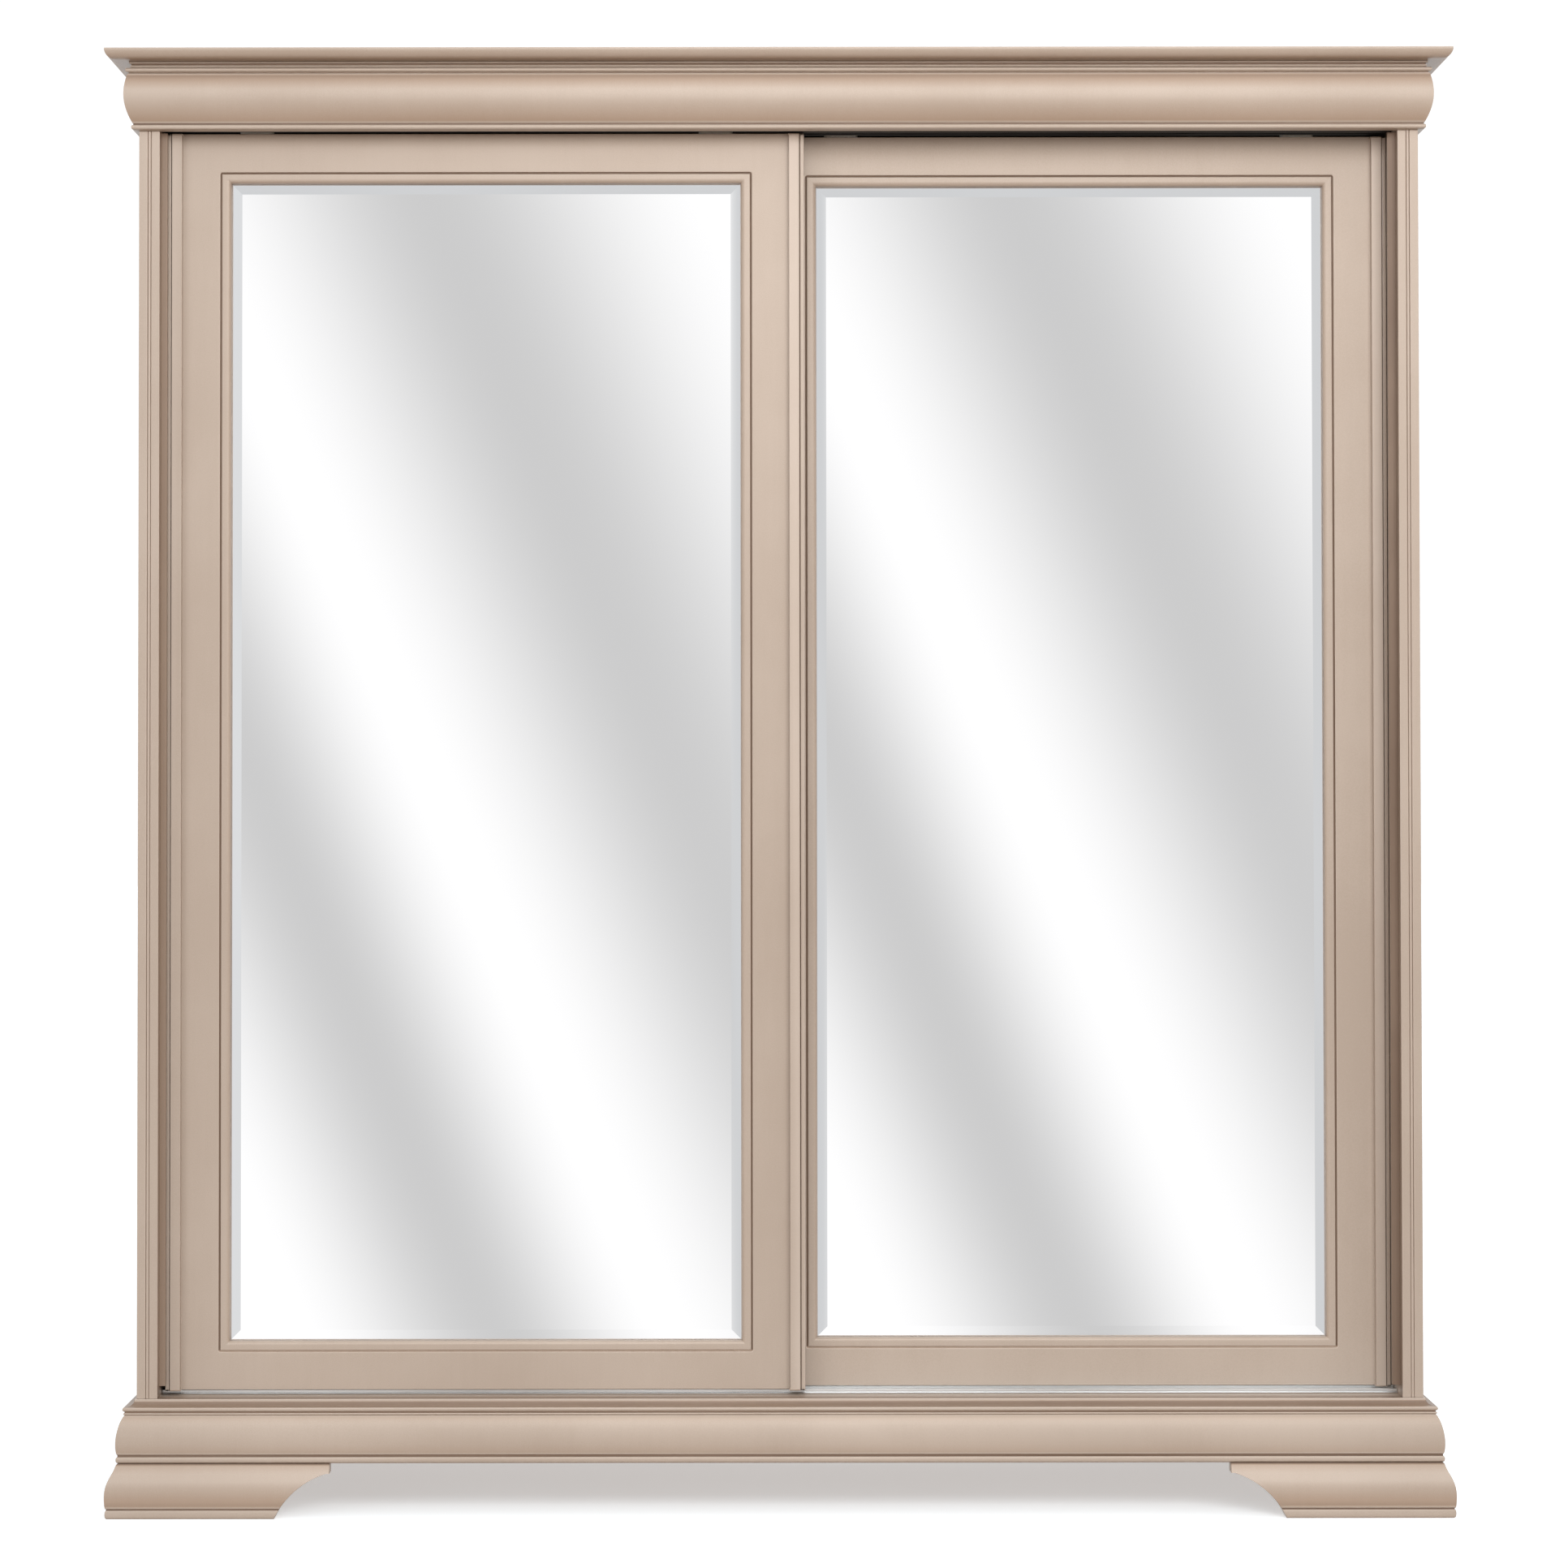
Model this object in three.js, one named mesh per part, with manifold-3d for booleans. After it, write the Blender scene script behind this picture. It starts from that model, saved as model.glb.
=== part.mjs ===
// Armoire with two mirrored sliding doors, in millimetres.
// +X is to the right, +Z is up and the doors face -Y. The origin is on the floor, under the middle
// of the armoire's bounding box. The case is a pair of side frames, a floor, a ceiling and a
// partition. It stands on a moulded base with bracket feet and carries a moulded crown. Each door
// rolls on a ridge of the bottom track and is guided by a channel of the top track.

import * as THREE from "three";
import Module from "manifold-3d";
import { mergeVertices } from "three/addons/utils/BufferGeometryUtils.js";

const wasm = await Module();
wasm.setup();

// ---------------------------------------------------------------- driving dimensions

const HEIGHT = 2134;
const DEPTH = 711;
const CASE_WIDTH = 1873; // over the outer faces of the corner posts
const GAP = 0.3; // left between two pieces that touch
const CROWN_REACH = 45.2; // how far the crown's lip stands out from the posts

const CROWN_BOTTOM = 2018.7;
const BASE_TOP = 168;
const BASE_BOTTOM = 78;
const BOARD = 18; // shelves, floor, ceiling and partition

const POST_WIDTH = 30.1;
const FRONT_POST_DEPTH = 80;
const REAR_POST_DEPTH = 40;
const SIDE_RECESS = 6.1; // the side panels lie this far inside the posts' faces

const DOOR_WIDTH = 936.8;
const DOOR_BOTTOM = 175.4;
const DOOR_TOP = 2020.8;
const DOOR_THICKNESS = 19;
const DOOR_JAMB_GAP = 6.9;
const DOOR_PITCH = 36.5; // from the front door's plane to the rear door's
const FRONT_DOOR_FACE = 43; // behind the posts' front faces
const MIRROR_SIDE_MARGIN = 93; // from the door's edge to the visible mirror
const MIRROR_BOTTOM = 246.3;
const MIRROR_TOP = 1947.9;

const PARTITION_FRONT = 104; // behind the posts' front faces
const BACK_PANEL_THICKNESS = 6;
const BACK_PANEL_INSET = 6.5;

// ---------------------------------------------------------------- places that follow from them

const HALF = CASE_WIDTH / 2;
const INNER = HALF - POST_WIDTH; // half the clear width between the posts
const BACK = DEPTH / 2;
const FRONT = CROWN_REACH - DEPTH / 2; // the posts' front faces
const CASE_BOTTOM = BASE_TOP + GAP;
const CASE_TOP = HEIGHT - BOARD - GAP;
const CROWN_INNER = GAP - SIDE_RECESS; // the crown's hidden back, as a reach beyond the posts
const BACK_PANEL_FRONT = BACK - BACK_PANEL_INSET - BACK_PANEL_THICKNESS;
const INSIDE_FRONT = FRONT + PARTITION_FRONT;
const INSIDE_BACK = BACK_PANEL_FRONT - GAP;
const CEILING_BOTTOM = 2040;

// ---------------------------------------------------------------- materials

function finish(color, roughness, metalness) {
  return new THREE.MeshStandardMaterial({ color, roughness, metalness });
}

const PAINT = finish(0xc9b4a3, 0.42, 0.1);
const INTERIOR = finish(0xb5a08e, 0.6, 0);
const MIRROR = finish(0xdfe3e4, 0.03, 1);
const BACKING = finish(0x8d7f72, 0.8, 0);
const ALUMINIUM = finish(0xc9ccce, 0.3, 1);
const STEEL = finish(0x9a9c9e, 0.35, 1);
const NYLON = finish(0xe4e2dc, 0.5, 0);

// ---------------------------------------------------------------- geometry helpers

// A closed mesh from corner positions and triangles, turned so that its faces point out.
function closedGeometry(positions, triangles) {
  let volume = 0;
  const corner = (i) => new THREE.Vector3().fromArray(positions, 3 * i);
  for (const [a, b, c] of triangles) {
    volume += corner(a).dot(corner(b).cross(corner(c)));
  }
  const facing = volume > 0 ? triangles : triangles.map(([a, b, c]) => [a, c, b]);
  const geometry = new THREE.BufferGeometry();
  geometry.setAttribute("position", new THREE.Float32BufferAttribute(positions, 3));
  geometry.setIndex(facing.flat());
  geometry.computeVertexNormals();
  return geometry;
}

// Sweeps a closed profile through stations. A station is a function from a profile point to
// a place in space, so mitred and square ends are both stations. A loop joins its ends.
function sweep(outline, stations, loop = false) {
  const profile = THREE.ShapeUtils.isClockWise(outline) ? [...outline].reverse() : outline;
  const count = profile.length;
  const positions = stations.flatMap((place) => profile.flatMap((point) => place(point)));
  const triangles = [];
  const steps = loop ? stations.length : stations.length - 1;
  for (let s = 0; s < steps; s += 1) {
    const here = s * count;
    const there = ((s + 1) % stations.length) * count;
    for (let i = 0; i < count; i += 1) {
      const next = (i + 1) % count;
      triangles.push([here + i, here + next, there + next]);
      triangles.push([here + i, there + next, there + i]);
    }
  }
  if (!loop) {
    const last = (stations.length - 1) * count;
    for (const [a, b, c] of THREE.ShapeUtils.triangulateShape(profile, [])) {
      triangles.push([c, b, a]);
      triangles.push([last + a, last + b, last + c]);
    }
  }
  return closedGeometry(positions, triangles);
}

function block([x0, x1], [y0, y1], [z0, z1]) {
  const geometry = new THREE.BoxGeometry(x1 - x0, y1 - y0, z1 - z0);
  return geometry.translate((x0 + x1) / 2, (y0 + y1) / 2, (z0 + z1) / 2);
}

// An outline of (x, y) points raised from z0 to z1.
function raised(outline, z0, z1) {
  const shape = new THREE.Shape(outline);
  const geometry = new THREE.ExtrudeGeometry(shape, { depth: z1 - z0, bevelEnabled: false });
  return geometry.translate(0, 0, z0);
}

// An outline of (y, z) points drawn out along X from x0 to x1.
function drawn(outline, x0, x1) {
  const axes = new THREE.Matrix4().makeBasis(
    new THREE.Vector3(0, 1, 0),
    new THREE.Vector3(0, 0, 1),
    new THREE.Vector3(1, 0, 0),
  );
  const shape = new THREE.Shape(outline);
  const geometry = new THREE.ExtrudeGeometry(shape, { depth: x1 - x0, bevelEnabled: false });
  return geometry.applyMatrix4(axes).translate(x0, 0, 0);
}

function points(...pairs) {
  return pairs.map(([u, v]) => new THREE.Vector2(u, v));
}

// A copy that holds positions only, with the corners that meet made one.
function weldedCopy(geometry) {
  const bare = geometry.clone();
  bare.deleteAttribute("normal");
  bare.deleteAttribute("uv");
  return mergeVertices(bare, 1e-4);
}

function toSolid(geometry) {
  const merged = weldedCopy(geometry);
  const mesh = new wasm.Mesh({
    numProp: 3,
    vertProperties: new Float32Array(merged.attributes.position.array),
    triVerts: new Uint32Array(merged.index.array),
  });
  return new wasm.Manifold(mesh);
}

function fromSolid(solid) {
  const mesh = solid.getMesh();
  const geometry = new THREE.BufferGeometry();
  geometry.setAttribute("position", new THREE.BufferAttribute(mesh.vertProperties, 3));
  geometry.setIndex(new THREE.BufferAttribute(mesh.triVerts, 1));
  geometry.computeVertexNormals();
  return geometry;
}

function cut(geometry, ...tools) {
  const solid = tools.reduce((rest, tool) => rest.subtract(toSolid(tool)), toSolid(geometry));
  return fromSolid(solid);
}

function join(geometry, ...others) {
  const solid = others.reduce((whole, other) => whole.add(toSolid(other)), toSolid(geometry));
  return fromSolid(solid);
}

// ---------------------------------------------------------------- the scene graph

const armoire = new THREE.Group();

function add(name, geometry, material, parent = armoire) {
  const mesh = new THREE.Mesh(geometry, material.clone());
  mesh.name = name;
  parent.add(mesh);
  return mesh;
}

const SIDES = [
  { name: "left", sign: -1 },
  { name: "right", sign: 1 },
];

// A pair of X limits on one side of the middle, in rising order.
function span(sign, near, far) {
  return sign > 0 ? [near, far] : [-far, -near];
}

// ---------------------------------------------------------------- moulding profiles

// A half-round bead from the path's end straight down to bottom, standing out by bulge.
function bead(path, bottom, bulge) {
  const { x, y } = path.currentPoint;
  const pull = (4 / 3) * bulge;
  path.bezierCurveTo(x + pull, y, x + pull, bottom, x, bottom);
}

// A profile path as (reach, height) points, with its first point on the height given.
function profilePoints(path, divisions, height) {
  const outline = path.getPoints(divisions);
  outline.forEach((point) => point.setY(point.y + height));
  return outline.filter((point, i) => i === 0 || point.distanceTo(outline[i - 1]) > 1e-3);
}

// The crown: a lip with a rounded underside, a flat soffit, two thin beads, a bead, a full
// belly and a closing bead. Heights run down from the top.
function crownProfile() {
  const drop = CROWN_BOTTOM - HEIGHT;
  const path = new THREE.Path();
  path.moveTo(CROWN_INNER, 0);
  path.lineTo(CROWN_REACH, 0);
  path.lineTo(CROWN_REACH, -2.8);
  path.bezierCurveTo(43.8, -10.5, 39, -15.2, 30, -15.2);
  path.lineTo(11.6, -15.2);
  bead(path, -18.2, 1.4);
  path.lineTo(10, -18.7);
  path.lineTo(10, -20.4);
  bead(path, -23.4, 1.4);
  path.lineTo(9.6, -23.8);
  path.lineTo(9.6, -24.6);
  path.lineTo(13.4, -24.6);
  bead(path, -31.4, 4.8);
  path.lineTo(13.4, -32.4);
  path.lineTo(15.3, -33.4);
  path.bezierCurveTo(23.3, -57.8, 22.6, -80.5, 8.6, -104.8);
  path.lineTo(7.6, -105.5);
  path.lineTo(7.6, -106.9);
  bead(path, -113.9, 2.8);
  path.lineTo(6.4, -114.4);
  path.lineTo(0, drop);
  path.lineTo(CROWN_INNER, drop);
  return profilePoints(path, 8, HEIGHT);
}

// The base: a ledge with a small lip, a cove, a nose, a fillet, a full belly and a closing bead.
// Its flange reaches inwards under the posts and the side panels.
const BASE_FLANGE = 40;
const BASE_APRON_BACK = -8;

function baseProfile() {
  const drop = BASE_BOTTOM - BASE_TOP;
  const path = new THREE.Path();
  path.moveTo(-BASE_FLANGE, 0);
  path.lineTo(2, 0);
  path.lineTo(2.8, -0.8);
  path.lineTo(2.8, -3);
  path.bezierCurveTo(4.5, -8, 9, -10.2, 16, -10.4);
  bead(path, -16, 2.2);
  path.lineTo(15.2, -16.8);
  path.lineTo(15.2, -18.2);
  bead(path, -21.2, 2);
  path.lineTo(16.6, -22.8);
  path.bezierCurveTo(25, -34.5, 29.9, -59.9, 25.6, -76.6);
  path.lineTo(24.2, -78);
  path.lineTo(24.2, -80.4);
  bead(path, -89.2, 2.5);
  path.lineTo(23.4, drop);
  path.lineTo(BASE_APRON_BACK, drop);
  path.lineTo(BASE_APRON_BACK, -BOARD);
  path.lineTo(-BASE_FLANGE, -BOARD);
  return profilePoints(path, 8, BASE_TOP);
}

// The bracket feet: a swelling curve that falls from the base's bead to a bead on the floor.
const FOOT_TOP = BASE_BOTTOM - GAP;
const FOOT_BACK = 4; // the foot's hidden face, as a reach beyond the posts
const FOOT_REACH = 41.2;

function footProfile() {
  const path = new THREE.Path();
  path.moveTo(FOOT_BACK, FOOT_TOP);
  path.lineTo(24.6, FOOT_TOP);
  path.lineTo(26.2, 76);
  path.bezierCurveTo(32.6, 56.8, 45, 52.8, 40.2, 15.3);
  path.lineTo(38.5, 14.4);
  path.lineTo(38.5, 12.6);
  bead(path, 0.6, 2);
  path.lineTo(38, 0);
  path.lineTo(FOOT_BACK, 0);
  return profilePoints(path, 8, 0);
}

// ---------------------------------------------------------------- stations of the mouldings

// A mitred corner on the front, at the left or the right side.
function frontCorner(sign, clearance) {
  return ({ x: reach, y: z }) => [sign * (HALF + reach - clearance), -reach + FRONT, z];
}

// The same mitre seen from the side moulding, which keeps its own half of the gap.
function sideCorner(sign, clearance) {
  return ({ x: reach, y: z }) => [sign * (HALF + reach), FRONT - reach + clearance, z];
}

// A square end of a side moulding at the depth y.
function sideEnd(sign, y) {
  return ({ x: reach, y: z }) => [sign * (HALF + reach), y, z];
}

// A square end of a front moulding at the place x.
function frontEnd(x) {
  return ({ x: reach, y: z }) => [x, FRONT - reach, z];
}

function addMouldedFrame(name, profile) {
  const half = GAP / 2;
  const front = sweep(profile, [frontCorner(-1, half), frontCorner(1, half)]);
  add(`${name}_front`, front, PAINT);
  for (const side of SIDES) {
    const stations = [sideCorner(side.sign, half), sideEnd(side.sign, BACK)];
    add(`${name}_${side.name}`, sweep(profile, stations), PAINT);
  }
}

// ---------------------------------------------------------------- crown and base

function addCrown() {
  addMouldedFrame("crown", crownProfile());
  const inside = HALF + CROWN_INNER - GAP;
  const top = block(
    [-inside, inside],
    [FRONT - CROWN_INNER + GAP, BACK],
    [HEIGHT - BOARD, HEIGHT],
  );
  add("top_board", top, PAINT);
}

function addBase() {
  addMouldedFrame("base", baseProfile());
  const railHalf = HALF + BASE_APRON_BACK - GAP;
  const rail = block(
    [-railHalf, railHalf],
    [BACK - 22, BACK - 2],
    [BASE_BOTTOM, BASE_TOP - BOARD - GAP],
  );
  add("base_back", rail, PAINT);
  const floorHalf = HALF - BASE_FLANGE - GAP;
  const floor = block(
    [-floorHalf, floorHalf],
    [FRONT + BASE_FLANGE + GAP, BACK],
    [BASE_TOP - BOARD, BASE_TOP],
  );
  add("floor_board", floor, INTERIOR);
}

// ---------------------------------------------------------------- bracket feet

const FOOT_FRONT_LENGTH = 324.8; // from the foot's outer edge to its inner end, along the front
const FOOT_SIDE_LENGTH = 250;
const BRACKET_SHOULDER = 64; // height at which the foot's inner end turns into the bracket's arc
const BRACKET_RADIUS = 117;
const BRACKET_ARC_DROP = 48.8; // the arc's centre lies this far below the floor
const BRACKET_ARC_OUT = 27; // and this far beyond the foot's inner end
const REAR_BRACKET_THICKNESS = 20;

// The waste beyond the bracket's arc, as (distance from the outer edge, height) points.
function bracketWaste(length) {
  const centre = length + BRACKET_ARC_OUT;
  const rise = BRACKET_SHOULDER + BRACKET_ARC_DROP;
  const start = Math.PI - Math.asin(rise / BRACKET_RADIUS);
  const end = Math.PI - Math.asin((BRACKET_ARC_DROP - 1) / BRACKET_RADIUS);
  const path = new THREE.Path();
  path.moveTo(length + 10, -1);
  path.lineTo(length + 10, BRACKET_SHOULDER);
  path.absarc(centre, -BRACKET_ARC_DROP, BRACKET_RADIUS, start, end, false);
  return path.getPoints(6);
}

// Cuts the bracket's arc into a leg that runs along X (front and back) or along Y (sides).
function frontWaste(sign, length, y0, y1) {
  const edge = HALF + FOOT_REACH;
  const outline = bracketWaste(length);
  return sweep(outline, [y0, y1].map((y) => ({ x, y: z }) => [sign * (edge - x), y, z]));
}

function sideWaste(sign, length, outerY, towards) {
  const outline = bracketWaste(length);
  const limits = [HALF - 20, HALF + FOOT_REACH + 10];
  return sweep(outline, limits.map((x) => ({ x: u, y: z }) => [sign * x, outerY + towards * u, z]));
}

function frontFoot(sign) {
  const profile = footProfile();
  const innerX = HALF + FOOT_REACH - FOOT_FRONT_LENGTH;
  const innerY = FRONT - FOOT_REACH + FOOT_SIDE_LENGTH;
  const body = sweep(profile, [
    frontEnd(sign * innerX),
    frontCorner(sign, 0),
    sideEnd(sign, innerY),
  ]);
  return cut(
    body,
    frontWaste(sign, FOOT_FRONT_LENGTH, FRONT - FOOT_REACH - 10, FRONT + 20),
    sideWaste(sign, FOOT_SIDE_LENGTH, FRONT - FOOT_REACH, 1),
  );
}

function rearFoot(sign) {
  const profile = footProfile();
  const innerY = BACK - FOOT_SIDE_LENGTH;
  const side = sweep(profile, [sideEnd(sign, innerY), sideEnd(sign, BACK)]);
  const innerX = HALF + FOOT_REACH - FOOT_SIDE_LENGTH;
  const bracket = block(
    span(sign, innerX, HALF + FOOT_BACK + 10),
    [BACK - REAR_BRACKET_THICKNESS, BACK],
    [0, FOOT_TOP],
  );
  return cut(
    join(side, bracket),
    sideWaste(sign, FOOT_SIDE_LENGTH, BACK, -1),
    frontWaste(sign, FOOT_SIDE_LENGTH, BACK - REAR_BRACKET_THICKNESS - 10, BACK + 10),
  );
}

function addFeet() {
  for (const side of SIDES) {
    add(`foot_front_${side.name}`, frontFoot(side.sign), PAINT);
    add(`foot_rear_${side.name}`, rearFoot(side.sign), PAINT);
  }
}

// ---------------------------------------------------------------- posts, sides, back and ceiling

const POST_GROOVE = 12.2; // from the post's outer edge to its double groove
const QUIRK_WIDTH = 1.7;
const QUIRK_DEPTH = 1.9;
const POST_BEAD_WIDTH = 2.7;

// The lip that hides the gap between a front post and the nearest door. It is wider on the right,
// where the door stands farther back.
const LIP_WIDTHS = { left: 8.7, right: 12 };
const LIP_DEPTHS = [20, 30]; // behind the post's front face
const LIP_BOTTOM = 184;

// A front post's section as (x, y) points: a plain rectangle with two V grooves in its face.
function frontPostOutline(sign) {
  const faceSteps = [[0, 0]];
  for (const start of [POST_GROOVE, POST_GROOVE + QUIRK_WIDTH + POST_BEAD_WIDTH]) {
    faceSteps.push([start, 0]);
    faceSteps.push([start + QUIRK_WIDTH / 2, QUIRK_DEPTH]);
    faceSteps.push([start + QUIRK_WIDTH, 0]);
  }
  faceSteps.push([POST_WIDTH, 0]);
  faceSteps.push([POST_WIDTH, FRONT_POST_DEPTH]);
  faceSteps.push([0, FRONT_POST_DEPTH]);
  return points(...faceSteps.map(([inwards, back]) => [sign * (HALF - inwards), FRONT + back]));
}

function addSideFrames() {
  const shoulder = CROWN_BOTTOM - GAP;
  const overlap = 5; // the lip and the rebated head start inside the post's full section
  for (const side of SIDES) {
    const headX = span(side.sign, INNER, HALF - SIDE_RECESS);
    const front = join(
      raised(frontPostOutline(side.sign), CASE_BOTTOM, shoulder),
      block(
        span(side.sign, INNER - LIP_WIDTHS[side.name], INNER + overlap),
        LIP_DEPTHS.map((depth) => FRONT + depth),
        [LIP_BOTTOM, shoulder],
      ),
      block(
        headX,
        [FRONT + SIDE_RECESS, FRONT + FRONT_POST_DEPTH],
        [shoulder - overlap, CASE_TOP],
      ),
    );
    add(`front_post_${side.name}`, front, PAINT);

    const rear = join(
      block(span(side.sign, INNER, HALF), [BACK - REAR_POST_DEPTH, BACK], [CASE_BOTTOM, shoulder]),
      block(headX, [BACK - REAR_POST_DEPTH, BACK], [shoulder - overlap, CASE_TOP]),
    );
    add(`rear_post_${side.name}`, rear, PAINT);

    const panel = block(
      headX,
      [FRONT + FRONT_POST_DEPTH + GAP, BACK - REAR_POST_DEPTH - GAP],
      [CASE_BOTTOM, CASE_TOP],
    );
    add(`side_panel_${side.name}`, panel, PAINT);
  }
}

const HEAD_RAIL_THICKNESS = 20;
const HEAD_RAIL_BOTTOM = 2022;

function addHeadAndBack() {
  const across = [-INNER + GAP, INNER - GAP];
  const railFront = FRONT + SIDE_RECESS;
  const railBack = railFront + HEAD_RAIL_THICKNESS;
  add("head_rail", block(across, [railFront, railBack], [HEAD_RAIL_BOTTOM, CASE_TOP]), PAINT);
  add(
    "ceiling_board",
    block(across, [railBack + GAP, INSIDE_BACK], [CEILING_BOTTOM, CEILING_BOTTOM + BOARD]),
    INTERIOR,
  );
  const backDepths = [BACK_PANEL_FRONT, BACK_PANEL_FRONT + BACK_PANEL_THICKNESS];
  add("back_panel", block(across, backDepths, [CASE_BOTTOM, CASE_TOP]), INTERIOR);
}

// ---------------------------------------------------------------- inside the case

const HAT_SHELF_BOTTOM = 1860;
const RIGHT_SHELVES = { lower: 640, upper: 1250 };
const ROD_RADIUS = 12.5;
const ROD_WALL = 1.5;
const ROD_HEIGHT = 1795;
const SOCKET_RADIUS = 24;
const SOCKET_PLATE = 4;
const SOCKET_DEPTH = 16;
const SOCKET_WALL = 3;
const ROUND_STEPS = 24;

// A ring of revolution about the X axis, from (distance along X, radius) points.
function turnedAboutX(outline, steps = ROUND_STEPS) {
  const closed = [...outline, outline[0]].map(([along, radius]) => new THREE.Vector2(radius, along));
  const lathe = new THREE.LatheGeometry(closed, steps);
  const merged = weldedCopy(lathe);
  const axes = new THREE.Matrix4().makeBasis(
    new THREE.Vector3(0, 1, 0),
    new THREE.Vector3(1, 0, 0),
    new THREE.Vector3(0, 0, 1),
  );
  merged.applyMatrix4(axes);
  return facingOut(merged);
}

function facingOut(geometry) {
  const indices = Array.from(geometry.index.array);
  const triangles = [];
  for (let i = 0; i < indices.length; i += 3) {
    const triangle = indices.slice(i, i + 3);
    if (new Set(triangle).size === 3) {
      triangles.push(triangle);
    }
  }
  return closedGeometry(Array.from(geometry.attributes.position.array), triangles);
}

function addInterior() {
  const depths = [INSIDE_FRONT, INSIDE_BACK];
  const halfPartition = BOARD / 2;
  const top = CEILING_BOTTOM - GAP;
  const partition = block([-halfPartition, halfPartition], depths, [CASE_BOTTOM, top]);
  add("centre_partition", partition, INTERIOR);

  const bay = (sign) => span(sign, halfPartition + GAP, INNER - GAP);
  for (const side of SIDES) {
    const shelf = block(bay(side.sign), depths, [HAT_SHELF_BOTTOM, HAT_SHELF_BOTTOM + BOARD]);
    add(`hat_shelf_${side.name}`, shelf, INTERIOR);
  }
  for (const [level, z] of Object.entries(RIGHT_SHELVES)) {
    add(`right_shelf_${level}`, block(bay(1), depths, [z, z + BOARD]), INTERIOR);
  }
  addHangingRod(bay(-1), (INSIDE_FRONT + INSIDE_BACK) / 2);
}

function addHangingRod([outerWall, innerWall], y) {
  const ends = [outerWall + SOCKET_PLATE + GAP, innerWall - SOCKET_PLATE - GAP];
  const inner = ROD_RADIUS - ROD_WALL;
  const rod = turnedAboutX([
    [ends[0], inner],
    [ends[0], ROD_RADIUS],
    [ends[1], ROD_RADIUS],
    [ends[1], inner],
  ]);
  add("hanging_rod", rod, STEEL).position.set(0, y, ROD_HEIGHT);

  const mouth = ROD_RADIUS + GAP;
  for (const [name, wall, sign] of [["outer", outerWall, 1], ["inner", innerWall, -1]]) {
    const socket = turnedAboutX([
      [0, 3],
      [0, SOCKET_RADIUS],
      [sign * SOCKET_PLATE, SOCKET_RADIUS],
      [sign * SOCKET_PLATE, mouth + SOCKET_WALL],
      [sign * SOCKET_DEPTH, mouth + SOCKET_WALL],
      [sign * SOCKET_DEPTH, mouth],
      [sign * SOCKET_PLATE, mouth],
      [sign * SOCKET_PLATE, 3],
    ]);
    add(`rod_socket_${name}`, socket, STEEL).position.set(wall, y, ROD_HEIGHT);
  }
}

// ---------------------------------------------------------------- tracks

const DOOR_CENTRE_DEPTH = DOOR_THICKNESS / 2; // from a door's face to the middle of its thickness
const TRACK_PLANES = [0, DOOR_PITCH].map((step) => FRONT_DOOR_FACE + step + DOOR_CENTRE_DEPTH);
const TRACK_PLATE = 1.3;
const TRACK_FRONT = 47; // behind the posts' front faces
const TRACK_BACK = 102;
const RIDGE_HALF_WIDTH = 1.5;
const RIDGE_TOP = 174.3;
const CHANNEL_HALF_WIDTH = 5.5;
const CHANNEL_WALL = 2;
const CHANNEL_BOTTOM = 2024;
const CHANNEL_ROOF = 2037;

// The bottom track: a flat plate with a ridge under each door.
function bottomTrackOutline() {
  const floor = CASE_BOTTOM;
  const plateTop = floor + TRACK_PLATE;
  const outline = [[TRACK_FRONT, floor], [TRACK_FRONT, plateTop]];
  for (const plane of TRACK_PLANES) {
    outline.push([plane - RIDGE_HALF_WIDTH, plateTop], [plane - RIDGE_HALF_WIDTH, RIDGE_TOP]);
    outline.push([plane + RIDGE_HALF_WIDTH, RIDGE_TOP], [plane + RIDGE_HALF_WIDTH, plateTop]);
  }
  outline.push([TRACK_BACK, plateTop], [TRACK_BACK, floor]);
  return points(...outline.map(([behind, z]) => [FRONT + behind, z]));
}

// The top track: a flat plate with a channel over each door, open at the bottom.
function topTrackOutline() {
  const roof = CEILING_BOTTOM - GAP;
  const outer = CHANNEL_HALF_WIDTH + CHANNEL_WALL;
  const outline = [];
  for (const plane of TRACK_PLANES) {
    outline.push([plane - outer, CHANNEL_ROOF], [plane - outer, CHANNEL_BOTTOM]);
    outline.push([plane - CHANNEL_HALF_WIDTH, CHANNEL_BOTTOM]);
    outline.push([plane - CHANNEL_HALF_WIDTH, CHANNEL_ROOF]);
    outline.push([plane + CHANNEL_HALF_WIDTH, CHANNEL_ROOF]);
    outline.push([plane + CHANNEL_HALF_WIDTH, CHANNEL_BOTTOM]);
    outline.push([plane + outer, CHANNEL_BOTTOM], [plane + outer, CHANNEL_ROOF]);
  }
  outline.push([TRACK_PLANES[1] + outer, roof], [TRACK_PLANES[0] - outer, roof]);
  return points(...outline.map(([behind, z]) => [FRONT + behind, z]));
}

function addTracks() {
  const ends = [-INNER + GAP, INNER - GAP];
  add("bottom_track", drawn(bottomTrackOutline(), ...ends), ALUMINIUM);
  add("top_track", drawn(topTrackOutline(), ...ends), ALUMINIUM);
}

// ---------------------------------------------------------------- doors

// A door is built about its own middle: x = 0 half way across and y = 0 on its front face.
const HALF_DOOR = DOOR_WIDTH / 2;
const HALF_MIRROR = HALF_DOOR - MIRROR_SIDE_MARGIN; // half of the width that shows
const GROOVE_OUTER = 16.6; // from the visible mirror to the routed groove's outer edge
const GROOVE_WIDTH = 3.4;
const GROOVE_DEPTH = 2.4;
const MIRROR_SETBACK = 10;
const REBATE = 8; // the mirror's edge is hidden this far behind the frame
const MIRROR_THICKNESS = 5;
const MIRROR_EDGE_THICKNESS = 2.3;
const BEVEL_WIDTH = 15; // of the part of the bevel that shows

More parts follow.
